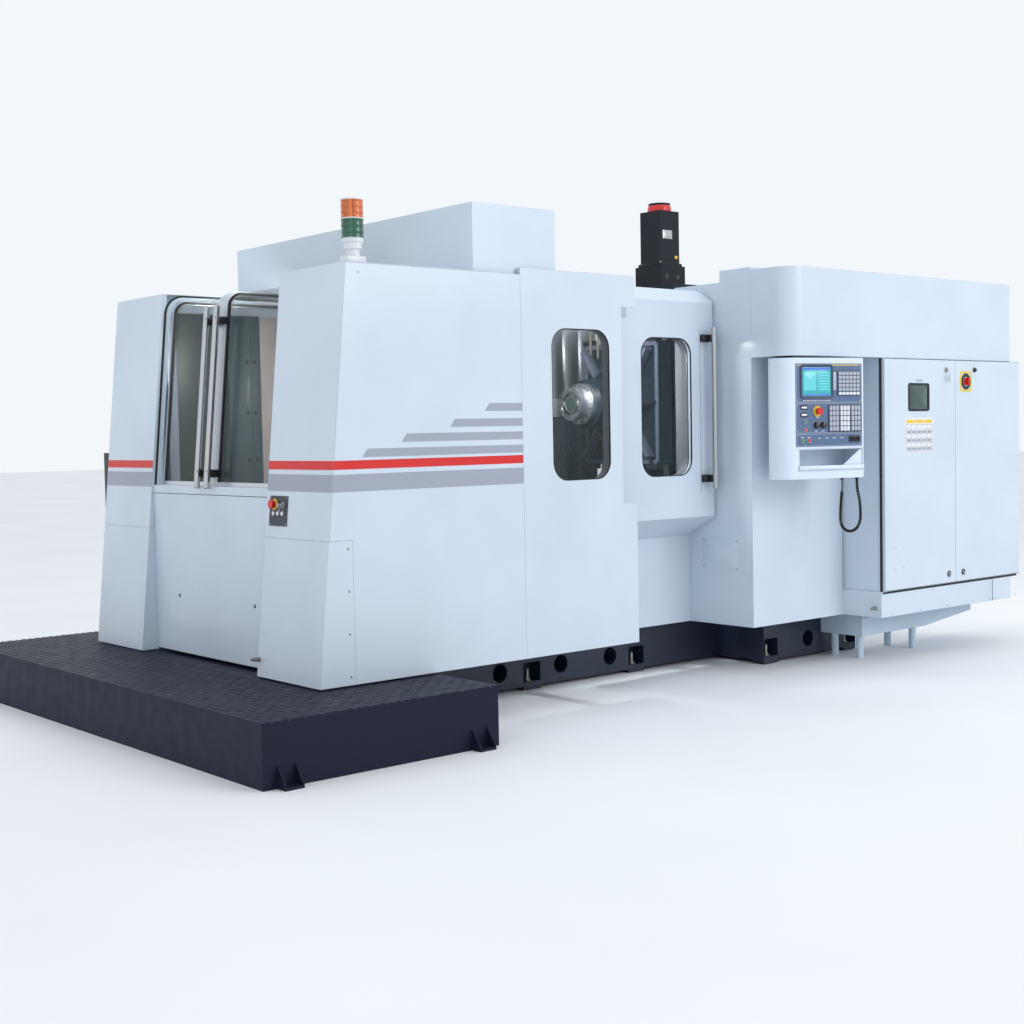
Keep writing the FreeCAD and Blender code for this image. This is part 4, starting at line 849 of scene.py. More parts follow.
LEAF_INSET, LEAF_TOP = 0.045, HIGH["loading_door_near"][2]


def leaf_line(inset, steps=14):
    """A loading door's section: up the leaning plane, round a quarter, and back along the roof."""
    top = LEAF_TOP - inset
    foot = LOW["loading_door_near"][2]
    radius = 0.080 - inset
    turn = math.pi / 2 - LEAN
    offset = LEAF_INSET + inset
    reach = radius * math.tan(turn / 2)
    corner = np.array([lean_x(top, offset), top])
    start = corner - reach * np.array([math.sin(LEAN), math.cos(LEAN)])
    centre = corner + np.array([reach, -radius])
    angle = np.linspace(math.pi - LEAN, math.pi / 2, steps)
    bend = centre + radius * np.stack([np.cos(angle), np.sin(angle)], axis=-1)
    back = [HIGH["loading_door_near"][0], top]
    return np.vstack([[lean_x(foot, offset), foot], start, bend, back])


def leaf_strip(low_y, high_y, outer, inner):
    """A strip of a loading door's curved section between two places across and two depths."""
    out, back = leaf_line(outer), leaf_line(inner)
    loop = [np.stack([line[:, 0], np.full(len(line), y), line[:, 1]], axis=-1)
            for line, y in ((out, low_y), (out, high_y), (back, high_y), (back, low_y))]
    return surface(np.stack(loop, axis=0))


def leaf_rail(low_y, high_y, low_z, high_z, outer, inner):
    """A straight rail across a loading door, following the leaning plane."""
    corners = [(lean_x(low_z, LEAF_INSET + outer), low_z), (lean_x(high_z, LEAF_INSET + outer), high_z),
               (lean_x(high_z, LEAF_INSET + inner), high_z), (lean_x(low_z, LEAF_INSET + inner), low_z)]
    loop = [[(x, y, z) for y in (low_y, high_y)] for x, z in corners]
    return surface(np.array(loop))


def span(first, second):
    """Two places in rising order."""
    return min(first, second), max(first, second)


class LoadingDoorOperator(bpy.types.Operator):
    """The two clear curved loading doors: bright stiles, panes, pull tubes, brackets and rubber edges."""
    bl_idname = "machine.loading_doors"
    bl_label = "Loading doors"

    def execute(self, context):
        for name, sign in (("near", -1), ("far", 1)):
            node = f"loading_door_{name}"
            body = BODY[node]
            low, high = LOW[node][1], HIGH[node][1]
            meet, away = (high, low) if sign < 0 else (low, high)
            stile, rim = 0.046, 0.014
            foot = LOW[node][2]
            frame_parts = [leaf_strip(*span(meet, meet + sign * stile), 0.0, 0.024),
                           leaf_strip(*span(away, away - sign * rim), 0.003, 0.022),
                           leaf_rail(low, high, foot, foot + 0.020, 0.002, 0.026)]
            lip = span(meet + sign * 0.020, meet + sign * 0.025)
            frame_parts.append(leaf_strip(*lip, -0.0025, 0.002))
            add(f"loading_door_frame_{name}", frame_parts, "door_frame_aluminium", body, [node],
                slot="door_frame_aluminium")
            pane = leaf_strip(*span(meet + sign * stile * 0.8, away - sign * rim * 0.5), 0.010, 0.015)
            add(f"loading_pane_{name}", pane, "door_pane", body, [f"loading_glass_{name}"],
                slot="window_glass")
            seals = [leaf_strip(*span(away - sign * rim, away - sign * (rim + 0.009)), 0.006, 0.019),
                     leaf_strip(*span(meet + sign * stile, meet + sign * (stile + 0.006)), 0.006, 0.019)]
            add(f"loading_seals_{name}", seals, "black_rubber", body)
            grip = meet + sign * 0.048
            inset = LEAF_INSET - 0.060
            ends = (1.150, 2.066)
            axis = math.sin(LEAN) * X + math.cos(LEAN) * Z
            long = (ends[1] - ends[0]) / math.cos(LEAN)
            tube = [(0.0125, 0.0), (0.016, 0.003), (0.016, long - 0.003), (0.0125, long)]
            add(f"loading_grip_{name}", turned((lean_x(ends[0], inset), grip, ends[0]), axis, tube, 28),
                "chrome_tube", body, slot="chrome_tube")
            brackets = []
            for z in (ends[0] + 0.075, ends[1] - 0.075):
                foot_side = span(grip - sign * 0.014, grip - sign * 0.052)
                for out, (left, right) in ((inset - 0.010, (grip - 0.014, grip + 0.014)),
                                           (LEAF_INSET - 0.012, foot_side)):
                    brackets.append(bar((lean_x(z, out), left, z - 0.019),
                                        (lean_x(z, LEAF_INSET + 0.004), right, z + 0.019), 0.003))
            add(f"loading_brackets_{name}", brackets, "black_plastic", body, slot="black_plastic")
        return {"FINISHED"}


class StationOperator(bpy.types.Operator):
    """The loading end's fixed trims: door surround, apron bolts, the control plate's parts, the air
    coupler, the lower covers' screws and the loading room's far wall."""
    bl_idname = "machine.station"
    bl_label = "Loading station"

    def execute(self, context):
        self.surround()
        self.plate()
        self.fasteners()
        self.lining()
        return {"FINISHED"}

    def surround(self):
        """Painted returns beside the doors, the rubber lines along them and the joint under the sill."""
        sill = HIGH["station_apron"][2]
        seals, returns = [], []
        for edge, sign in ((FRONT + END_WIDTH, 1), (BACK - END_WIDTH, -1)):
            away = edge + sign * 0.006
            seals.append(leaf_strip(*span(edge + sign * 0.0006, away), -0.030, 0.002))
            returns.append(leaf_strip(*span(away, away + sign * 0.004), -0.020, 0.002))
        add("door_surround_seals", seals, "black_rubber", "frame")
        add("door_surround_returns", returns, "enclosure_paint", "frame")
        apron = LOW["station_apron"][0]
        line = bar((apron - 0.001, LOW["station_apron"][1] + 0.002, sill - 0.044),
                   (apron + 0.003, HIGH["station_apron"][1] - 0.002, sill - 0.041), 0.0005)
        add("sill_joint", line, "black_rubber", "frame")

    def plate(self):
        """Bezels round the buttons and their caps, the stop's ring, the key's ring and four screws."""
        low = LOW["station_plate"]
        button_row, button_height = (0.038, 0.076, 0.114), 0.058
        corner = END.at(-(low[1] - FRONT), up_end(low[2]), 0.0034)
        plate = Face(corner, -Y, END.v, END.n)

        def at(y, z, n=0.0):
            return plate.at(-y, z, n)
        spot = Face(at(0, 0), plate.u, plate.v, plate.n)
        add("station_stop_ring", collar(spot, -0.112, 0.100, 0.0130, 0.026, -0.0003, 0.003),
            "yellow_plastic", "frame")
        bezels = [collar(spot, -y, button_height, 0.0088, 0.0125, -0.0003, 0.0035) for y in button_row]
        bezels.append(collar(spot, -0.036, 0.096, 0.0108, 0.015, -0.0003, 0.004))
        add("station_bezels", bezels, "latch_steel", "frame")
        corners = [(y, z) for y in (0.008, 0.147) for z in (0.008, 0.132)]
        add("station_screws", [screw(at(y, z), END.n, 0.0035, 0.0018) for y, z in corners],
            "latch_steel", "frame")
        for name, y in zip(("ready", "turn", "clamp"), button_row):
            cap = turned(at(y, button_height, 0.0068), END.n,
                         [(0.0079, 0), (0.0079, 0.0006), (0.0066, 0.0012)], 20)
            add(f"station_{name}_cap", cap, "white_plastic", BODY[f"station_{name}_button"])
        turn = np.linspace(0, 2 * math.pi, 25)
        hang = at(0.036, 0.084, 0.026)
        loop = hang + 0.011 * (np.cos(turn)[:, None] * Y + (np.sin(turn)[:, None] - 1) * Z)
        add("key_ring", swept(loop, 0.0009, 6), "latch_steel", BODY["key_switch"])

    def fasteners(self):
        """Bolts in the apron, screws in the lower covers, and the air coupler at the foot."""
        apron = LOW["station_apron"][0]
        bolts = [screw((apron, FRONT + y, z), -X, 0.011, 0.004) for y, z in ((0.709, 0.590), (1.473, 0.588))]
        add("apron_bolts", bolts, "zinc_bolt", "frame")
        wrap = HIGH["near_lower_cover"][0] - 0.025
        side = [screw((wrap, y, z), out, 0.0055, 0.0022) for y, out in ((FRONT, -Y), (BACK, Y))
                for z in (0.895, 0.704, 0.511, 0.319)]
        add("cover_screws", side, "zinc_bolt", "frame")
        add("end_air_coupler", coupler(END.at(-0.532, up_end(0.360)), END.n), "zinc_bolt", "frame")

    def lining(self):
        """The loading room's far wall: a grey band, a dark lining, a teal panel, a beige strip, and a joint
        with pairs of bolts."""
        floor = HIGH["bed_casting"][2]
        top = HIGH["loading_door_near"][2] - 0.02
        wall = BACK - 0.075
        for name, finish, low, high in (("band", "grey_film", 0.440, 0.500),
                                        ("lining", "inner_dark", 0.501, 0.830),
                                        ("panel", "teal_panel", 0.832, 1.048),
                                        ("strip", "beige_wall", 1.050, 1.180)):
            add(f"loading_room_{name}",
                bar((along(low), wall, floor), (along(high), wall + 0.004, top), 0.001),
                finish, "frame")
        joint = along(0.985)
        add("loading_room_joint",
            bar((joint - 0.0015, wall - 0.0005, floor), (joint + 0.0015, wall + 0.002, top),
                                      0.0004), "black_rubber", "frame")
        bolts = [part for z in WALL_BOLT_HEIGHTS for side in (-1, 1)
                 for part in hex_bolt(np.array((joint + side * 0.026, wall, z)), -Y, 0.016, 0.007, 0.012)]
        add("loading_room_bolts", bolts, "black_plastic", "frame")


def coupler(place, out):
    """An air coupler: a hexagon body, a knurled sleeve with grooves and a bright nose."""
    return [turned(place, out, [(0.012, 0.0), (0.012, 0.010), (0.008, 0.011)], 6),
            turned(place, out,
                   [(0.008, 0.010), (0.0105, 0.012), (0.0105, 0.018), (0.0093, 0.019), (0.0093, 0.021),
                                (0.0105, 0.022), (0.0105, 0.030), (0.008, 0.032), (0.0065, 0.046),
                                (0.0045, 0.048)], 20)]


# ------------------------------------------------------------------ long side: windows, panels, sliding door
DOOR = "operator_door"
DOOR_FACE = LOW["operator_door_glass"][1] - 0.0253


def window_middle(node, lap=0.020):
    """The middle, width and height of a window's opening, from its pane."""
    low, high = LOW[node], HIGH[node]
    return ((low[0] + high[0]) / 2, (low[2] + high[2]) / 2,
            high[0] - low[0] - 2 * lap, high[2] - low[2] - 2 * lap)


class WindowOperator(bpy.types.Operator):
    """The two windows' rubber edges, inner frames and the screws that clamp them."""
    bl_idname = "machine.windows"
    bl_label = "Windows"

    def execute(self, context):
        for node, face_y, name in (("window_glass", LOW["window_panel"][1], "fixed_window"),
                                   ("operator_door_glass", DOOR_FACE, "door_window")):
            x, z, width, height = window_middle(node)
            face = front_face(x, face_y, z)
            corner = 0.095
            seal = ring(face, 0, 0, width, height, corner,
                        [(0.0005, -0.004), (0.0005, 0.0008), (-0.003, 0.0012), (-0.005, -0.001),
                         (-0.005, -0.006)], 12)
            add(f"{name}_seal", seal, "black_rubber", BODY[node])
            depth = LOW[node][1] - face_y
            clamped = -depth - 0.0105
            clamp = ring(face, 0, 0, width, height, corner,
                         box_profile(-0.001, 0.030, clamped, -depth - 0.0065), 12)
            add(f"{name}_clamp", clamp, "latch_steel", BODY[node])
            reveal = ring(face, 0, 0, width, height, corner,
                          [(0.0, -depth - 0.0062), (0.004, -depth - 0.0062), (0.004, -depth - 0.052),
                           (0.0, -depth - 0.052)], 12)
            add(f"{name}_reveal", reveal, "inner_wall", BODY[node])
            studs = []
            for u in np.linspace(-width / 2 + 0.10, width / 2 - 0.10, 3):
                studs += [screw(face.at(u, s * (height / 2 + 0.014), clamped), Y) for s in (-1, 1)]
            for v in np.linspace(-height / 2 + 0.12, height / 2 - 0.12, 5):
                studs += [screw(face.at(s * (width / 2 + 0.014), v, clamped), Y) for s in (-1, 1)]
            add(f"{name}_studs", studs, "zinc_bolt", BODY[node])
        return {"FINISHED"}


class PanelOperator(bpy.types.Operator):
    """The window panel's edge trim, a grey block of painted shadow under the header at the top of the panel's notch,
    the panels' joint and the screwed access cover.
    """
    bl_idname = "machine.panels"
    bl_label = "Panels"

    def execute(self, context):
        panel_low, panel_high = LOW["window_panel"], HIGH["window_panel"]
        notch_top, notch_low, notch = 2.040, 1.020, 0.100
        right = panel_high[0]
        edge = right - notch - 0.0005
        lip = bar((edge, panel_low[1] + 0.0005, notch_low),
                  (right - notch + 0.004, panel_low[1] + 0.026, notch_top), 0.002)
        add("panel_edge_trim", lip, "enclosure_paint", "frame")
        # A key-grey block at the top of the notch: painted shadow where the header shades the strip below it.
        block = bar((edge, panel_low[1] + 0.003, notch_top - 0.050),
                    (right - notch + 0.042, panel_low[1] + 0.030, notch_top - 0.0005), 0.002)
        add("door_buffer", block, "key_grey", "frame")
        seam = front_face(HIGH["front_side_panel"][0] + 0.0004, FRONT + 0.0016, 0)
        joint = beam(seam, (-0.0022, 0.0022), (panel_low[2], HIGH["front_side_panel"][2]), (-0.004, 0),
                     0.0004)
        add("panel_joint", joint, "black_rubber", "frame")
        cover_face = left_face(LOW["control_casing"][0], FRONT, 0)
        low_y, high_y, low_z, high_z = 0.015, 0.281, 0.598, 0.770
        u, v = -(low_y + high_y) / 2, (low_z + high_z) / 2
        cover = slab(cover_face, u, v, high_y - low_y, high_z - low_z, 0.0, 0.0015, 0.004)
        add("access_cover", cover, "enclosure_paint", "frame")
        screws = [screw(cover_face.at(u + su * (high_y - low_y - 0.016) / 2,
                                      v + sv * (high_z - low_z - 0.016) / 2,
                                      0.0013), -X, 0.0045, 0.002) for su in (-1, 1) for sv in (-1, 1)]
        add("access_cover_screws", screws, "zinc_bolt", "frame")
        return {"FINISHED"}


class SlidingDoorOperator(bpy.types.Operator):
    """The sliding door's pull: a turned tube, r(h) its profile, in two black brackets, and the fold line
    beside it."""
    bl_idname = "machine.sliding_door"
    bl_label = "Sliding door"

    def execute(self, context):
        body = BODY[DOOR]
        low, high = LOW["operator_door_handle"], HIGH["operator_door_handle"]
        x, y = (low[0] + high[0]) / 2, low[1] + 0.017
        long = high[2] - low[2]
        tube = turned((x, y, low[2]), Z,
                      [(0.0135, 0), (0.017, 0.003), (0.017, long - 0.003), (0.0135, long)], 32)
        add("door_pull_tube", tube, "chrome_tube", body, ["operator_door_handle"], slot="chrome_tube")
        brackets = []
        for z in (low[2] + 0.060, high[2] - 0.060):
            brackets.append(bar((x - 0.052, DOOR_FACE - 0.026, z - 0.021),
                                (x + 0.004, DOOR_FACE - 0.0004, z + 0.021),
                                0.003))
            brackets.append(bar((x - 0.016, y - 0.002, z - 0.021), (x + 0.014, DOOR_FACE - 0.004, z + 0.021),
                                0.003))
        add("door_pull_brackets", brackets, "black_plastic", body, slot="black_plastic")
        groove = bar((x - 0.058, DOOR_FACE - 0.0006, low[2] - 0.03),
                     (x - 0.050, DOOR_FACE + 0.001, high[2] + 0.01),
                     0.0004)
        add("door_fold_line", groove, "key_grey", body)
        return {"FINISHED"}


# ------------------------------------------------------------------ pendant
def collar(face, u, v, inner, outer, low, top, soft=0.0006, steps=6):
    """A round ring on a plane, between two radii and two levels."""
    return ring(face, u, v, 2 * inner, 2 * inner, inner, box_profile(0, outer - inner, low, top, soft),
                steps)


def keypad(face, u, v, columns, rows, low, top, gap=0.004, slant=0.0008):
    """Keys in a regular grid over a rectangle, each a block with soft edges."""
    across = np.linspace(u[0], u[1], columns + 1)
    up = np.linspace(v[0], v[1], rows + 1)
    return [beam(face, (a + gap / 2, b - gap / 2), (c + gap / 2, d - gap / 2), (low, top), slant, 1)
            for a, b in zip(across, across[1:]) for c, d in zip(up, up[1:])]


class PendantOperator(bpy.types.Operator):
    """The pendant's three units: frames, display, keys, lamps, bezels, dials' marks and connector; its
    tray's lip and gusset; and the ribbed collar at the swivel."""
    bl_idname = "machine.pendant"
    bl_label = "Pendant"

    def execute(self, context):
        self.frames()
        self.display()
        self.keys()
        self.marks()
        self.body()
        return {"FINISHED"}

    def flat(self, s, z, low, top, radius=0.003):
        """A thin plate between two places along the face and two heights."""
        return slab(PENDANT, sum(s) / 2, sum(z) / 2, s[1] - s[0], z[1] - z[0], low, top, radius,
                    min(0.0008, (top - low) / 2))

    def frames(self):
        """Light edges round the three units and their corner screws."""
        units = ((1.5335, 1.7435), (1.3655, 1.5285), (1.2945, 1.3605))
        edges, screws = [], []
        for low, high in units:
            edges.append(ring(PENDANT, 0.2255, (low + high) / 2, 0.4385, high - low, 0.003,
                              box_profile(-0.0025, 0.0, -0.0005, 0.0016, 0.0005), 3))
            screws += [screw(PENDANT.at(s, z), PENDANT_N, 0.0032, 0.0014)
                       for s in (0.014, 0.437) for z in (low + 0.009, high - 0.009)]
        add("pendant_unit_edges", edges, "key_grey", "pendant")
        add("pendant_unit_screws", screws, "latch_steel", "pendant")

    def display(self):
        """The display's dark bezel, its lit face with bars and fields, the soft keys, the strip above the
        units and the card door."""
        bezel = ring(PENDANT, 0.1425, 1.6475, 0.191, 0.157, 0.006,
                     [(0.0, -0.0005), (0.0, 0.0010), (0.008, 0.0055), (0.014, 0.0055), (0.016, 0.0035),
                      (0.016, -0.0005)])
        add("display_bezel", bezel, "key_dark", "pendant")
        add("display_face", self.flat((0.047, 0.238), (1.569, 1.726), 0.0002, 0.0012), "screen_glow",
            "pendant")
        bars = [self.flat((0.050, 0.235), (1.712, 1.723), 0.0010, 0.0018, 0.0005),
                self.flat((0.050, 0.235), (1.572, 1.579), 0.0010, 0.0018, 0.0005)]
        add("display_bars", bars, "screen_bar", "pendant")
        tables = [self.flat((0.056, 0.140), (1.600, 1.700), 0.0010, 0.0016, 0.0005)]
        tables += [self.flat((0.150, 0.228), (z, z + 0.009), 0.0010, 0.0016, 0.0005)
                   for z in np.linspace(1.600, 1.690, 7)]
        add("display_tables", tables, "screen_pale", "pendant")
        soft = keypad(PENDANT, (0.047, 0.238), (1.5375, 1.5495), 8, 1, -0.0005, 0.0035)
        add("display_keys", soft, "key_grey", "pendant")
        add("unit_strip", self.flat((0.016, 0.430), (1.7350, 1.7395), 0.0, 0.0010, 0.001),
            "yellow_plastic", "pendant")
        add("card_door", self.flat((0.250, 0.274), (1.600, 1.700), 0.0, 0.0035), "key_grey", "pendant")

    def keys(self):
        """The two raised key fields: a dark plate and rows of light keys on each."""
        plates = [self.flat((0.282, 0.439), (1.568, 1.707), 0.0, 0.0040, 0.004),
                  self.flat((0.219, 0.444), (1.3695, 1.5205), 0.0, 0.0040, 0.004)]
        add("key_plates", plates, "key_dark", "pendant")
        foot, rows = 0.0035, (1.374, 1.516)
        light = keypad(PENDANT, (0.287, 0.434), (1.594, 1.703), 6, 5, foot, 0.0072)
        for across in ((0.224, 0.290), (0.373, 0.439)):
            light += keypad(PENDANT, across, rows, 3, 5, foot, 0.0068)
        add("light_keys", light, "key_grey", "pendant")
        pale = keypad(PENDANT, (0.287, 0.434), (1.572, 1.592), 6, 1, foot, 0.0072)
        pale += keypad(PENDANT, (0.298, 0.365), rows, 3, 5, foot, 0.0068)
        add("pale_keys", pale, "white_plastic", "pendant")
        points = [PENDANT.at(s, z, 0.0064) for s in np.linspace(0.235, 0.428, 9)[[0, 1, 4, 7]]
                  for z in (1.3955, 1.4525, 1.509)]
        lamps = [turned(p, PENDANT_N, [(0.0016, 0), (0.0016, 0.0006), (0.0008, 0.0012)], 10) for p in points]
        add("key_lamps", lamps, "green_plastic", "pendant")

    def marks(self):
        """The two pill lamps, the stop's yellow ring, button bezels, the dials' arcs and the connector."""
        surrounds, pills = [], []
        for z in (1.506, 1.466):
            surrounds.append(ring(PENDANT, 0.057, z, 0.040, 0.012, 0.006,
                                  box_profile(0, 0.006, -0.0005, 0.0030)))
            pills.append(slab(PENDANT, 0.057, z, 0.039, 0.011, 0.0, 0.0042, 0.0055, 0.0015))
        add("lamp_surrounds", surrounds, "black_plastic", "pendant")
        add("pill_lamps", pills, "white_plastic", "pendant")
        add("stop_ring", collar(PENDANT, 0.148, 1.485, 0.0130, 0.030, -0.0003, 0.0014),
            "yellow_plastic", "pendant")
        places = ((0.065, 1.428), (0.065, 1.384), (0.045, 1.325), (0.089, 1.325))
        bezels = [collar(PENDANT, s, z, 0.0087, 0.0125, -0.0003, 0.0042, 0.0012) for s, z in places]
        add("button_bezels", bezels, "latch_steel", "pendant")
        dials, dial_height = (("feed_dial", 0.138), ("speed_dial", 0.184)), 1.409
        arcs = []
        for _, s in dials:
            sweep = np.linspace(math.radians(-40), math.radians(220), 28)
            arcs += [beam(PENDANT.moved(s + 0.0185 * math.cos(a), dial_height + 0.0185 * math.sin(a)),
                          (-0.0006, 0.0006), (-0.0012, 0.0012), (-0.0002, 0.0006), 0.0001,
                          1) for a in sweep[::3]]
            arc = PENDANT.at(s + 0.0205 * np.cos(sweep), dial_height + 0.0205 * np.sin(sweep), 0.0003)
            arcs.append(swept(arc, 0.0007, 6))
        marks = [self.flat((s - 0.010, s + 0.010), (z, z + 0.0035), 0.0, 0.0006, 0.0005)
                 for s, z in ((0.138, 1.375), (0.184, 1.375), (0.045, 1.341), (0.089, 1.341), (0.148, 1.448),
                              (0.160, 1.335), (0.210, 1.335), (0.260, 1.335), (0.310, 1.335))]
        add("dial_marks", arcs + marks, "white_plastic", "pendant")
        for name, s in dials:
            face = PENDANT.moved(s, dial_height, 0.0167)
            add(f"{name}_pointer",
                beam(face, (-0.0012, 0.0012), (0.002, 0.0125), (-0.0008, 0.0006), 0.0003, 1),
                "white_plastic", BODY[name])
        port = [self.flat((0.361, 0.435), (1.3145, 1.3475), 0.0, 0.0060, 0.004)]
        port += [collar(PENDANT, s, 1.331, 0.0065, 0.0105, 0.004, 0.0120, 0.001) for s in (0.381, 0.415)]
        add("panel_ports", port, "black_plastic", "pendant")

    def body(self):
        """The housing's seam, the tray's lip and slanted gusset, and the collar's ribs: r(h) rises and
        falls once for each rib."""
        seam = beam(PENDANT, (0.0, 0.462), (1.2785, 1.2808), (-0.003, 0.0004), 0.0003)
        add("pendant_seam", seam, "key_grey", "pendant")
        lip = [beam(PENDANT, (0.018, 0.458), (1.1600, 1.1680), (-0.004, 0.010), 0.0025),
               beam(PENDANT, (0.018, 0.458), (1.1600, 1.1860), (0.0060, 0.010), 0.0018)]
        add("tray_lip", lip, "pendant_paint", "pendant")
        outline = np.array([(0.452, 1.272), (0.440, 1.272), (0.300, 1.1690), (0.452, 1.1690)])
        gusset = surface(np.stack([PENDANT.at(outline[:, 0], outline[:, 1],
                                              level) for level in (-0.010, -0.004)],
                                  axis=1))
        add("tray_gusset", gusset, "pendant_paint", "pendant", smooth=False)
        pin = LOW["header_fascia"][2]
        head = HIGH["pendant_panel"][2] + 0.0322
        rise = np.linspace(head, pin - 0.0006, 41)
        ribs = 0.047 - 0.005 * np.abs(np.sin((rise - head) / (pin - head) * math.pi * 2))
        add("swivel_collar", turned(SWIVEL * (1, 1, 0), Z, list(zip(ribs, rise)), 32), "black_rubber",
            "pendant",
            slot="black_rubber")


# ------------------------------------------------------------------ cabinet and control corner
CABINET_FACE = LOW["cabinet_door_left"][1]


class CabinetOperator(bpy.types.Operator):
    """The cabinet doors' window, placard, plates, seals and cups, the parts on the plinth, the header's
    joint and the cooler's slats."""
    bl_idname = "machine.cabinet"
    bl_label = "Electrical cabinet"

    def execute(self, context):
        face = front_face(0, CABINET_FACE, 0)
        left = BODY["cabinet_door_left"]
        right = BODY["cabinet_door_right"]
        self.window(face, left)
        self.placard(face, left)
        self.locks(face, left, right)
        self.plinth()
        return {"FINISHED"}

    def window(self, face, body):
        """A dark window in a rubber frame, with a small plate above it."""
        x0, x1, z0, z1 = along(3.863), along(4.075), 1.481, 1.646
        u, v, width, height = (x0 + x1) / 2, (z0 + z1) / 2, x1 - x0, z1 - z0
        add("cabinet_window_frame", ring(face, u, v, width - 0.024, height - 0.024, 0.004,
                                         box_profile(0, 0.012, -0.0005, 0.0045, 0.0015), 4),
            "black_rubber", body)
        add("cabinet_window_pane", slab(face, u, v, width - 0.022, height - 0.022, -0.0005, 0.0012, 0.003),
            "dark_pane", body)
        add("cabinet_window_tag", slab(face, u + 0.006, z1 + 0.017, 0.060, 0.016, -0.0003, 0.0010, 0.001),
            "key_grey", body)

    def placard(self, face, body):
        """A pale placard ruled into boxes, under a strip of yellow and grey fields."""
        x0, x1, z0, z1 = along(3.831), along(4.114), 1.235, 1.441
        add("placard", slab(face, (x0 + x1) / 2, (z0 + z1) / 2, x1 - x0, z1 - z0, -0.0003, 0.0008, 0.002),
            "white_plastic", body)
        rules = [beam(face, (x, x + 0.0012), (z0 + 0.006, z1 - 0.040), (0.0005, 0.0011), 0.0001, 1)
                 for x in np.linspace(x0 + 0.010, x1 - 0.011, 6)]
        rules += [beam(face, (x0 + 0.010, x1 - 0.010), (z, z + 0.0012), (0.0005, 0.0011), 0.0001, 1)
                  for z in np.linspace(z0 + 0.006, z1 - 0.040, 7)]
        add("placard_rules", rules, "key_dark", body, smooth=False)
        fields = keypad(face, (x0 + 0.010, x1 - 0.010), (z1 - 0.034, z1 - 0.008), 3, 1, 0.0005, 0.0012,
                        0.006, 0.0001)
        add("placard_heads", fields, "yellow_plastic", body, smooth=False)
        greys = keypad(face, (x0 + 0.012, x1 - 0.012), (z0 + 0.010, z1 - 0.044), 5, 6, 0.0005, 0.0010, 0.010,
                       0.0001)
        add("placard_fields", greys[::2], "grey_film", body, smooth=False)

    def locks(self, face, left, right):
        """The lock's ring and hanging keys, the isolator's plate and border, the lamp, the latches' cups,
        four screws and the doors' seals."""
        x, z = along(4.254), 1.727
        add("lock_ring", collar(face, x, z, 0.0115, 0.018, -0.0003, 0.004), "latch_steel", left)
        turn = np.linspace(0, 2 * math.pi, 25)
        hook = np.array((x, CABINET_FACE - 0.020, z - 0.010))
        loop = hook + 0.012 * (np.cos(turn)[:, None] * X + (np.sin(turn)[:, None] - 1) * Z)
        keys = [swept(loop, 0.001, 6)]
        keys += [bar(hook + (dx - 0.004, -0.002, -0.062), hook + (dx + 0.004, -0.0005, -0.022), 0.0006)
                 for dx in (-0.005, 0.006)]
        add("cabinet_keys", keys, "latch_steel", BODY["cabinet_lock"])
        plate = (along(4.398), along(4.533)), (1.608, 1.711)
        middle = sum(plate[0]) / 2, sum(plate[1]) / 2
        disc = ring(face, *middle, 0.060, 0.060, 0.030, box_profile(0, 0.020, -0.0003, 0.0030, 0.001), 6)
        add("isolator_plate", disc, "black_plastic", right)
        border = ring(face, *middle, plate[0][1] - plate[0][0] - 0.034, plate[1][1] - plate[1][0] - 0.004,
                      0.004,
                      box_profile(-0.0005, 0.012, -0.0003, 0.0022, 0.0008), 3)
        add("isolator_border", border, "yellow_plastic", right)
        lamp = turned((along(4.5575), CABINET_FACE, 1.731), -Y,
                      [(0.015, -0.0003), (0.015, 0.004), (0.012, 0.006),
                                                                (0.011, 0.012), (0.006, 0.016)], 24)
        add("cabinet_lamp", lamp, "black_plastic", right)
        for name, x, z, body in (("left", 4.278, 0.4905, left), ("right", 4.432, 0.4905, right)):
            add(f"latch_cup_{name}", collar(face, along(x), z, 0.0118, 0.019, -0.0003, 0.003),
                "black_plastic", body)
        small = [screw((along(x), CABINET_FACE, z), -Y, 0.004, 0.0018)
                 for x in (3.726, 3.810) for z in (0.684, 0.563)]
        add("cabinet_screws", small, "latch_steel", left)
        low, high = LOW["cabinet_door_left"], HIGH["cabinet_door_right"]
        split = (HIGH["cabinet_door_left"][0] + LOW["cabinet_door_right"][0]) / 2
        back = HIGH["cabinet_door_left"][1]
        add("cabinet_split_seal", bar((HIGH["cabinet_door_left"][0] - 0.001, back - 0.004, low[2] + 0.004),
                                      (split + 0.0008, back - 0.0005, high[2] - 0.004), 0.0003),
            "black_rubber", left)
        seals = [bar((LOW["cabinet_body"][0] + 0.003, back - 0.0005, low[2] + 0.002),
                     (low[0] - 0.0008, back + 0.012, high[2] - 0.002), 0.0005),
                 bar((low[0] + 0.002, back - 0.0005, low[2] - 0.014),
                     (high[0] - 0.002, back + 0.012, low[2] - 0.0008),
                     0.0005)]
        add("cabinet_seals", seals, "black_rubber", "frame")

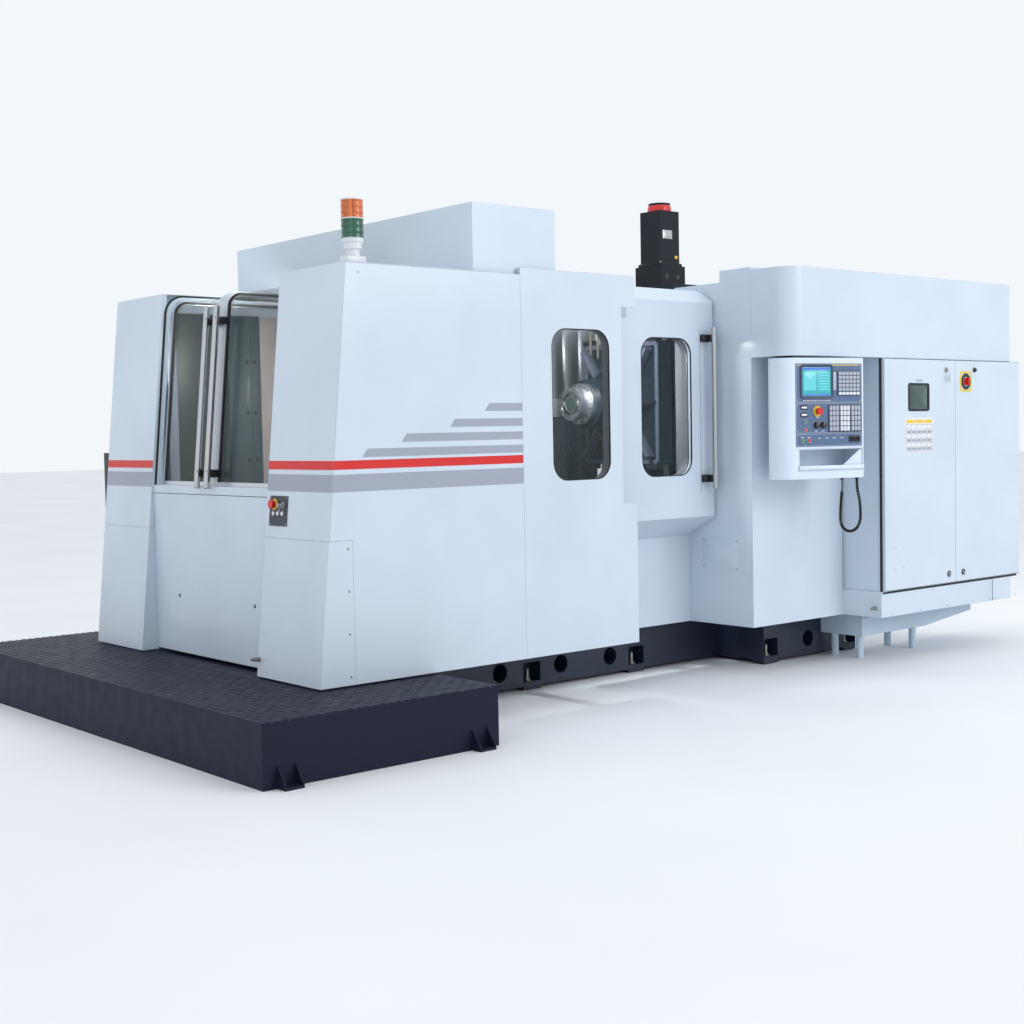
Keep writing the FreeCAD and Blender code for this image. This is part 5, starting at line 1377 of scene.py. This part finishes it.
    def plinth(self):
        """The plinth's upright joint, the screws along its foot, the air coupler at its left, the joint
        between header and cabinet, and the slats of the cooler's two grilles."""
        low = LOW["cabinet_body"]
        front, foot = low[1], low[2]
        joint = bar((along(4.760), front - 0.0006, foot + 0.002), (along(4.7625), front + 0.002, 0.429),
                    0.0004)
        add("plinth_joint", joint, "black_rubber", "frame")
        screws = [screw((along(x), front, foot + 0.018), -Y, 0.0045, 0.0018)
                  for x in (3.70, 3.98, 4.26, 4.54, 4.73, 4.80, 5.02)]
        add("plinth_screws", screws, "zinc_bolt", "frame")
        add("plinth_coupler", coupler(np.array((low[0], front + 0.060, 0.335)), -X), "zinc_bolt", "frame")
        fascia, top = LOW["header_fascia"], HIGH["cabinet_body"][2]
        joint = bar((fascia[0] + 0.16, fascia[1] - 0.0004, top - 0.0005),
                    (HIGH["header_fascia"][0] - 0.002, fascia[1] + 0.003, top + 0.0015), 0.0003)
        add("header_joint", joint, "black_rubber", "frame")
        cooler_low, cooler_high = LOW["heat_exchanger"], HIGH["heat_exchanger"]
        face = Face((cooler_high[0], 0, 0), Y, Z, X)
        middle = (cooler_low[1] + cooler_high[1]) / 2
        wide = cooler_high[1] - cooler_low[1] - 0.08
        grilles = ((cooler_low[2] + 0.08, cooler_low[2] + 0.36),
                   (cooler_high[2] - 0.36, cooler_high[2] - 0.08))
        slats = [beam(face, (middle - wide / 2, middle + wide / 2), (z, z + 0.010), (-0.004, 0.0), 0.001, 1)
                 for start, stop in grilles for z in np.arange(start, stop, 0.018)]
        add("cooler_slats", slats, "key_grey", "frame", smooth=False)


# ------------------------------------------------------------------ tops: signal tower, motor, roof, side box
class TopOperator(bpy.types.Operator):
    """The signal tower's stack, the column motor's plates and bolts, the roof's joint and the sides'
    screws."""
    bl_idname = "machine.tops"
    bl_label = "Tops"

    def execute(self, context):
        self.tower()
        self.motor()
        self.seams()
        return {"FINISHED"}

    def tower(self):
        """One turned stack of base, two banded lenses and rims: the lenses' radius swells and falls once
        for each of their bands."""
        low, high = LOW["signal_tower"], HIGH["signal_tower"]
        middle = (low + high) / 2
        foot = (middle[0], middle[1], low[2])
        half = (high[0] - low[0]) / 2
        tall = high[2] - low[2]
        base = [bar((low[0] + 0.002, middle[1] - 0.031, low[2]),
                    (high[0] - 0.002, middle[1] + 0.031, low[2] + 0.030),
                    0.003),
                turned(foot, Z, [(0.030, 0.028), (0.030, 0.060), (half * 0.78, 0.064), (half * 0.78, 0.090),
                                 (half * 0.92, 0.094), (half * 0.92, 0.112)], 36)]
        add("tower_base", base, "lamp_plastic", "frame", ["signal_tower"], slot="lamp_plastic")
        for name, start, end in (("green", 0.112, 0.196), ("amber", 0.200, tall - 0.008)):
            rise = np.linspace(start, end, 33)
            wave = half * (0.95 + 0.018 * np.cos((rise - start) / (end - start) * 2 * math.pi * 3))
            lens = turned(foot, Z, [(half * 0.86, start)] + list(zip(wave, rise)) + [(half * 0.86, end)], 40)
            add(f"tower_{name}", lens, f"{name}_lens", "frame")
        rims = [turned(foot, Z, [(half * 0.97, 0.1955), (half * 0.99, 0.198), (half * 0.97, 0.2005)], 40),
                turned(foot, Z,
                       [(half * 0.97, tall - 0.009), (half * 0.97, tall - 0.004), (half * 0.80, tall)], 40)]
        add("tower_rims", rims, "lamp_plastic", "frame")

    def motor(self):
        """The flange and its bolts, a bare rating plate, a yellow tag, the red cap, the adapter's holes as dark
        discs of painted shade, and the connector box."""
        low, high = LOW["column_motor"], HIGH["column_motor"]
        x, y = (low[0] + high[0]) / 2, (low[1] + high[1]) / 2
        adapter = 2.440
        bolts = [part for sx in (-1, 1) for sy in (-1, 1)
                 for part in hex_bolt(np.array((x + sx * 0.085, y + sy * 0.085, adapter + 0.020)), Z, 0.013,
                                      0.009)]
        flange = bar((x - 0.100, y - 0.100, adapter + 0.0005), (x + 0.100, y + 0.100, adapter + 0.020),
                     0.004)
        body = BODY["column_motor"]
        add("motor_flange", flange, "motor_paint", body)
        add("motor_bolts", bolts, "zinc_bolt", body)
        side = front_face(x, y - 0.087, 0)
        add("motor_plate", slab(side, -0.020, 2.640, 0.085, 0.055, -0.0003, 0.0012, 0.003), "latch_steel",
            body)
        add("motor_tag", slab(side, 0.058, 2.500, 0.026, 0.020, -0.0003, 0.0008, 0.001), "yellow_plastic",
            body)
        cap = turned((x, y, 2.786), Z, [(0.074, 0), (0.076, 0.008), (0.076, 0.030), (0.070, 0.044),
                                        (0.060, 0.0575)], 36)
        add("motor_cap", cap, "red_plastic", body)
        # The adapter's holes are thin dark discs: painted shade in place of the openings' depth.
        holes = [turned((x + dx, low[1] - 0.0008, 2.372), Y, [(0.017, 0), (0.017, 0.002)], 20)
                 for dx in (-0.055, 0.045)]
        add("adapter_holes", holes, "inner_dark", body)
        box = bar((x + 0.105, y - 0.035, adapter - 0.030), (x + 0.112, y + 0.035, adapter + 0.060), 0.003)
        add("connector_box", box, "black_plastic", body)

    def seams(self):
        """The joint across the roof, the far side's screws, one screw near the loading end and the side
        box's screws."""
        seam = LOW["window_panel"][0]
        top = HIGH["front_side_panel"][2]
        end = LOW["control_casing"][0]
        joint = bar((seam - 0.0010, FRONT + 0.030, top + 0.002), (seam + 0.0010, BACK - 0.030, top + 0.0045),
                    0.0004)
        add("roof_joint", joint, "black_rubber", "frame")
        screws = [screw((x, BACK, z), Y, 0.0055, 0.0022) for x in np.linspace(along(0.25), end - 0.06, 7)
                  for z in (0.32, 1.24, 2.12)]
        screws.append(screw((along(0.255), FRONT, 2.130), -Y, 0.0045, 0.0018))
        add("panel_screws", screws, "zinc_bolt", "frame")
        box_low, box_high = LOW["side_box"], HIGH["side_box"]
        cover = Face((0, box_high[1], 0), -X, Z, Y)
        add("side_box_screws", [screw(cover.at(-x, z, 0.0), Y, 0.004, 0.0018)
                                for x in (box_low[0] + 0.045, box_high[0] - 0.045)
                                for z in (box_low[2] + 0.03, box_high[2] - 0.03)], "zinc_bolt", "frame")


# ------------------------------------------------------------------ foot: platform, bed, tank
class FootOperator(bpy.types.Operator):
    """The platform's chequered top, joints and jack bolts, the bed's levelling bolts and the tank's seam."""
    bl_idname = "machine.foot"
    bl_label = "Platform and bed"

    def execute(self, context):
        self.tread()
        self.jacks()
        self.bed()
        self.tank()
        return {"FINISHED"}

    def tread(self):
        """Chequer plate: raised lozenges on a square grid, each 29 mm long, turned one way or the other
        by 45 degrees in turn, with sloping sides."""
        low, high = LOW["access_platform"], HIGH["access_platform"]
        pitch = 0.040
        end = LOW["near_lower_cover"][0] - 0.02
        across = np.arange(low[0] + 0.03, min(high[0], end + 0.8) - 0.02, pitch)
        along_y = np.arange(low[1] + 0.03, high[1] - 0.02, pitch)
        gx, gy = np.meshgrid(across, along_y, indexing="ij")
        turn = np.where((np.arange(len(across))[:, None] + np.arange(len(along_y))[None, :]) % 2 == 0, 1, -1)
        clear_of = ((gx < LOW["near_lower_cover"][0] - 0.012) | (gy < FRONT - 0.014) | (gy > BACK + 0.014))
        gx, gy, turn = gx[clear_of], gy[clear_of], turn[clear_of]
        base = np.array([(1, 0), (0, 0.22), (-1, 0), (0, -0.22)])
        rings = [(0.0145, -0.0002), (0.0115, 0.0016)]
        angle = turn * math.pi / 4
        cos, sin = np.cos(angle), np.sin(angle)
        layers = []
        for size, level in rings:
            p = base * size
            x = gx[:, None] + cos[:, None] * p[None, :, 0] - sin[:, None] * p[None, :, 1]
            y = gy[:, None] + sin[:, None] * p[None, :, 0] + cos[:, None] * p[None, :, 1]
            layers.append(np.stack([x, y, np.full(x.shape, high[2] - 0.0002 + level)], axis=-1))
        points = np.concatenate(layers, axis=1).reshape(-1, 3)
        first = np.arange(len(gx))[:, None, None] * 8
        quads = np.array([(0, 1, 5, 4), (1, 2, 6, 5), (2, 3, 7, 6), (3, 0, 4, 7), (4, 5, 6, 7),
                          (3, 2, 1, 0)])
        add("chequer_lozenges", (points, (first + quads[None]).reshape(-1, 4)), "platform_paint", "frame",
            smooth=False)
        self.edge(low, high)

    def edge(self, low, high):
        """Joints between the platform's top plates."""
        joints = [bar((low[0] + 0.01, y - 0.0015, high[2] - 0.001),
                      (LOW["near_lower_cover"][0] - 0.01, y + 0.0015,
                                                                   high[2] + 0.0002), 0.0003)
                  for y in (FRONT + 0.5, BACK - 0.5)]
        add("platform_joints", joints, "inner_dark", "frame")

    def jacks(self):
        """Three bolt heads on washers, low down inside the platform's outer edge."""
        low, high = LOW["access_platform"], HIGH["access_platform"]
        bolts = []
        for y in (low[1] + 0.35, (low[1] + high[1]) / 2, high[1] - 0.35):
            bolts += hex_bolt(np.array((low[0] + 0.03, y, low[2] + 0.012)), Z, 0.020, 0.012, 0.017)
        add("jack_bolts", bolts, "zinc_bolt", "frame")

    def bed(self):
        """Levelling bolts with nuts and washers in the bed's foot pockets, on both sides."""
        middle = (FRONT + BACK) / 2
        bolts = []
        for x, half in ((0.700, 0.610), (1.697, 0.610), (2.500, 0.610), (3.255, 0.985), (4.011, 0.985)):
            for side in (-1, 1):
                place = np.array((along(x), middle + side * (half - 0.040), 0.045))
                bolts += hex_bolt(place, Z, 0.030, 0.018, 0.026)
                bolts.append(turned(place, Z, [(0.009, 0), (0.009, 0.062), (0.007, 0.065)], 16))
        add("levelling_bolts", bolts, "zinc_bolt", "frame")

    def tank(self):
        """The seam under the tank's rim."""
        low, high = LOW["coolant_tank"], HIGH["coolant_tank"]
        seam = bar((low[0] + 0.004, low[1] - 0.0005, high[2] - 0.030), (high[0] - 0.004, low[1] + 0.002,
                                                                     high[2] - 0.0275), 0.0004)
        add("tank_seam", seam, "black_rubber", "frame")


# ------------------------------------------------------------------ interior
class InteriorOperator(bpy.types.Operator):
    """What shows through the windows and doors: rails with bolt holes, ball screw, hoses, stepped covers,
    the spindle nose's rings and bolts, ribs on the carriage, inner walls and the changer's screen."""
    bl_idname = "machine.interior"
    bl_label = "Interior"

    def execute(self, context):
        self.nose()
        self.carriage()
        self.column()
        self.covers()
        self.walls()
        self.changer()
        return {"FINISHED"}

    def nose(self):
        """The spindle nose's mouth, a dark disc of painted shade over its bore, two fine rings, drive keys and two
        circles of bolts, dark as painted shade of their holes.
        """
        low, high = LOW["spindle"], HIGH["spindle"]
        centre = np.array((low[0], (low[1] + high[1]) / 2, (low[2] + high[2]) / 2))
        body = BODY["spindle"]
        front = low[0]
        rim = Face(centre, -Y, Z, -X)
        mouth = ring(rim, 0, 0, 0.096, 0.096, 0.048,
                     [(0.0, -0.0005), (0.001, 0.0015), (0.020, 0.0015), (0.024, -0.0005)], 8)
        # A thin dark disc on the nose: painted shade in place of the bore's depth.
        dark = turned((front - 0.0002, centre[1], centre[2]), X, [(0.043, 0.001), (0.040, 0.0012)], 32)
        lines = [ring(rim, 0, 0, 2 * r, 2 * r, r, [(0.0, -0.0006), (0.0006, 0.0008), (0.0018, 0.0008),
                                                 (0.0024, -0.0006)], 8) for r in (0.076, 0.088)]
        add("spindle_mouth", [mouth] + lines, "chrome_tube", body)
        add("spindle_bore", dark, "inner_dark", body)
        keys = [bar((front - 0.006, centre[1] + s * 0.062 - 0.008, centre[2] - 0.012),
                    (front + 0.001, centre[1] + s * 0.062 + 0.008, centre[2] + 0.012),
                    0.002) for s in (-1, 1)]
        add("drive_keys", keys, "spindle_steel", body)
        # The bolt heads take the dark inner finish as painted shade of the holes they sit in.
        bolts = []
        for radius, count, offset in ((0.082, 6, 0.0), (0.112, 12, 0.074)):
            turn = (np.arange(count) + 0.5) * 2 * math.pi / count
            for angle in turn:
                place = centre + (offset, radius * math.cos(angle), radius * math.sin(angle))
                bolts.append(turned(place, -X,
                                    [(0.0065, -0.0005), (0.0065, 0.004), (0.005, 0.005), (0.003, 0.0052),
                                                (0.0028, 0.002)], 12))
        add("spindle_bolts", bolts, "inner_dark", body)

    def carriage(self):
        """Light machined edges and diagonal ribs on the headstock's carriage, wipers over the rails, an oil
        manifold and the hoses that curve down to it."""
        low, high = LOW["headstock"], HIGH["headstock"]
        body = BODY["headstock"]
        plate_front = along(3.011)
        y0, y1, z0, z1 = low[1], high[1], low[2], high[2]
        face = Face((plate_front, 0, 0), -Y, Z, -X)
        edge = ring(face, -(y0 + y1) / 2, (z0 + z1) / 2, y1 - y0 - 0.060, z1 - z0 - 0.060, 0.004,
                    box_profile(0, 0.028, -0.0005, 0.007, 0.002), 3)
        add("carriage_edge", edge, "slate_edge", body)
        ribs = []
        middle_y, middle_z = (y0 + y1) / 2, 1.568
        for sy in (-1, 1):
            for sz in (-1, 1):
                start = np.array((sy * 0.165, sz * 0.165))
                stop = np.array((sy * ((y1 - y0) / 2 - 0.045), sz * ((z1 - z0) / 2 - 0.045)))
                away = stop - start
                line = Face((plate_front, middle_y + start[0], middle_z + start[1]),
                            (0, away[0], away[1]), X)
                ribs.append(beam(line, (0, float(np.linalg.norm(away))), (-0.075, 0.002), (-0.009, 0.009),
                                 0.003))
        add("carriage_ribs", ribs, "slate_edge", body)
        wipers = [bar((plate_front - 0.022, y - 0.045, z), (plate_front + 0.04, y + 0.045, z + 0.030), 0.004)
                  for y in RAIL_PLACES for z in (z0 - 0.030, z1)]
        add("carriage_wipers", wipers, "black_rubber", body)
        manifold = bar((plate_front - 0.045, middle_y - 0.17, z1 - 0.095),
                       (plate_front - 0.001, middle_y + 0.05,
                                                                          z1 - 0.045), 0.003)
        add("oil_manifold", manifold, "latch_steel", body)
        hoses, nuts = [], []
        for k in range(4):
            y = middle_y - 0.14 + 0.045 * k
            start = np.array((plate_front - 0.022, y, z1 - 0.045))
            t = np.linspace(0, 1, 40)[:, None]
            rise = 0.13 + 0.022 * k
            arc = (start + t * np.array((0.03, 0.22 + 0.02 * k, 0)) + np.sin(t * math.pi) * rise * Z
                   - t * Z * 0.04 - np.sin(t * math.pi) * X * (0.055 + 0.01 * k))
            hoses.append(swept(arc, 0.0085, 10))
            nuts.append(turned(start, Z, [(0.012, 0.0), (0.012, 0.022), (0.009, 0.026)], 6))
        add("carriage_hoses", hoses, "hose_jacket", body)
        add("hose_nuts", nuts, "zinc_bolt", body)

    def column(self):
        """Light faces on the column's rails, with dark discs of painted shade for their bolt holes."""
        body = BODY["moving_column"]
        front = along(3.120)
        rails, holes = [], []
        z0, z1 = 0.760, 2.200
        for y in RAIL_PLACES:
            rails.append(bar((front - 0.0012, y - 0.0225, z0), (front + 0.0005, y + 0.0225, z1), 0.0006))
            for z in np.arange(z0 + 0.04, z1 - 0.02, 0.080):
                # Each bolt hole is a thin dark disc: painted shade in place of the hole's depth.
                holes.append(turned((front - 0.0010, y, z), -X,
                                    [(0.0080, 0.0), (0.0080, 0.0008), (0.006, 0.0010)], 14))
        add("rail_faces", rails, "ground_rail", body)
        add("rail_holes", holes, "inner_dark", body)

    def covers(self):
        """The cover beside the column, with stepped bright boxes above and a dark plate with ribs below;
        and the ball screw, a thread (r cos a, r sin a) rising one pitch a turn about a plain shaft."""
        body = BODY["moving_column"]
        front = along(3.105)
        start = HIGH["moving_column"][1] + 0.003
        wide, step = 0.441, 0.147
        boxes = [bar((front - 0.007 * k, start + step * k, 1.620),
                     (front + 0.012, start + step * (k + 1), 2.160),
                     0.003) for k in range(3)]
        boxes.append(bar((front - 0.020, start + 0.20, 1.500), (front + 0.012, start + wide, 1.617), 0.003))
        add("column_cover_boxes", boxes, "cover_steel", body)
        plate = [bar((front, start, 0.720), (front + 0.010, start + wide, 1.619), 0.002)]
        plate += [bar((front - 0.018, start + y, 0.730), (front + 0.002, start + y + 0.045, 1.490), 0.003)
                  for y in (0.10, 0.25)]
        add("column_cover_plate", plate, "casting_paint", body)
        screw_axis = (along(3.128), FRONT + 1.140, 0.0)
        foot, head, pitch, thread = 0.760, 2.180, 0.020, 0.017
        rise = np.linspace(foot, head, 1420)
        angle = (rise - foot) / pitch * 2 * math.pi
        line = np.array(screw_axis) + np.stack([thread * np.cos(angle), thread * np.sin(angle), rise],
                                               axis=-1)
        add("ball_screw",
            [swept(line, 0.0035, 5), turned(screw_axis, Z, [(0.0165, 0.755), (0.0165, 2.185)], 20)],
            "spindle_steel", body)

    def walls(self):
        """A pale inner wall panel with a row of screws, and the far side's dark lining."""
        wall = LOW["control_casing"][0] - 0.0004
        inner = bar((wall - 0.0020, FRONT + 0.390, 0.90), (wall, FRONT + 0.480, 2.10), 0.0005)
        add("inner_wall_panel", inner, "inner_wall", "frame")
        screws = [screw((wall - 0.0020, FRONT + 0.465, z), -X, 0.005,
                        0.002) for z in np.linspace(0.98, 2.02, 6)]
        add("inner_wall_screws", screws, "zinc_bolt", "frame")
        back = bar((along(1.50), BACK - 0.030, 0.70), (along(2.78), BACK - 0.024, 2.12), 0.001)
        add("back_lining", back, "inner_dark", "frame")

    def changer(self):
        """The changer's screen: a dark teal sheet on each side with an upright joint and pairs of bolts."""
        low, high = LOW["pallet_changer"], HIGH["pallet_changer"]
        post = (LOW["changer_post"] + HIGH["changer_post"]) / 2
        body = BODY["pallet_changer"]
        sheets, joints, bolts = [], [], []
        for side in (-1, 1):
            x = post[0] + side * 0.008
            sheets.append(bar(np.minimum((x, low[1] + 0.010, 0.96),
                                         (x + side * 0.003, low[1] + 0.010, 0.96)),
                              np.maximum((x, high[1] - 0.010, high[2] - 0.01),
                                         (x + side * 0.003, high[1] - 0.010, high[2] - 0.01)), 0.0008))
            for y in (post[1] - 0.20, post[1] + 0.22):
                joints.append(bar((min(x, x + side * 0.0042), y - 0.002, 0.97),
                                  (max(x, x + side * 0.0042), y + 0.002, high[2] - 0.02), 0.0004))
                for z in WALL_BOLT_HEIGHTS:
                    for dy in (-0.035, 0.035):
                        bolts += hex_bolt(np.array((x + side * 0.003, y + dy, z)), side * X, 0.017, 0.008,
                                          0.013)
        add("changer_sheets", sheets, "teal_panel", body)
        add("changer_joints", joints, "black_rubber", body)
        add("changer_bolts", bolts, "zinc_bolt", body)


# ------------------------------------------------------------------ panel and run
OPERATORS = [FinishOperator, StageOperator, LeadOperator, BandOperator, LoadingDoorOperator, StationOperator,
             WindowOperator, PanelOperator, SlidingDoorOperator, PendantOperator, CabinetOperator,
             TopOperator,
             FootOperator, InteriorOperator]
GROUPS = [MachineColours, MachineSizes]


class MachinePanel(bpy.types.Panel):
    """The machine's sizes, colours and pieces."""
    bl_idname = "VIEW3D_PT_machining_centre"
    bl_label = "Machining centre"
    bl_space_type = "VIEW_3D"
    bl_region_type = "UI"
    bl_category = "Machining centre"

    def draw(self, context):
        for group in (context.scene.machine_sizes, context.scene.machine_colours):
            for name in group.bl_rna.properties.keys():
                if name not in ("rna_type", "name"):
                    self.layout.prop(group, name)
        for operator in OPERATORS:
            self.layout.operator(operator.bl_idname)


def register():
    """Register the classes and hang the two property groups on the scene."""
    for item in GROUPS + OPERATORS + [MachinePanel]:
        bpy.utils.register_class(item)
    bpy.types.Scene.machine_sizes = bpy.props.PointerProperty(type=MachineSizes)
    bpy.types.Scene.machine_colours = bpy.props.PointerProperty(type=MachineColours)


def unregister():
    """Take everything off again."""
    del bpy.types.Scene.machine_sizes
    del bpy.types.Scene.machine_colours
    for item in reversed(GROUPS + OPERATORS + [MachinePanel]):
        bpy.utils.unregister_class(item)


def main():
    """Make every piece in order and write the two boxes."""
    register()
    for operator in OPERATORS:
        group, name = operator.bl_idname.split(".")
        getattr(getattr(bpy.ops, group), name)()
    boxes = {"cad": [list(corner) for corner in CAD_BOX], "visual": [list(corner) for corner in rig.bounds()]}
    with open("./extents.json", "w") as record:
        json.dump(boxes, record)


if __name__ == "__main__":
    main()
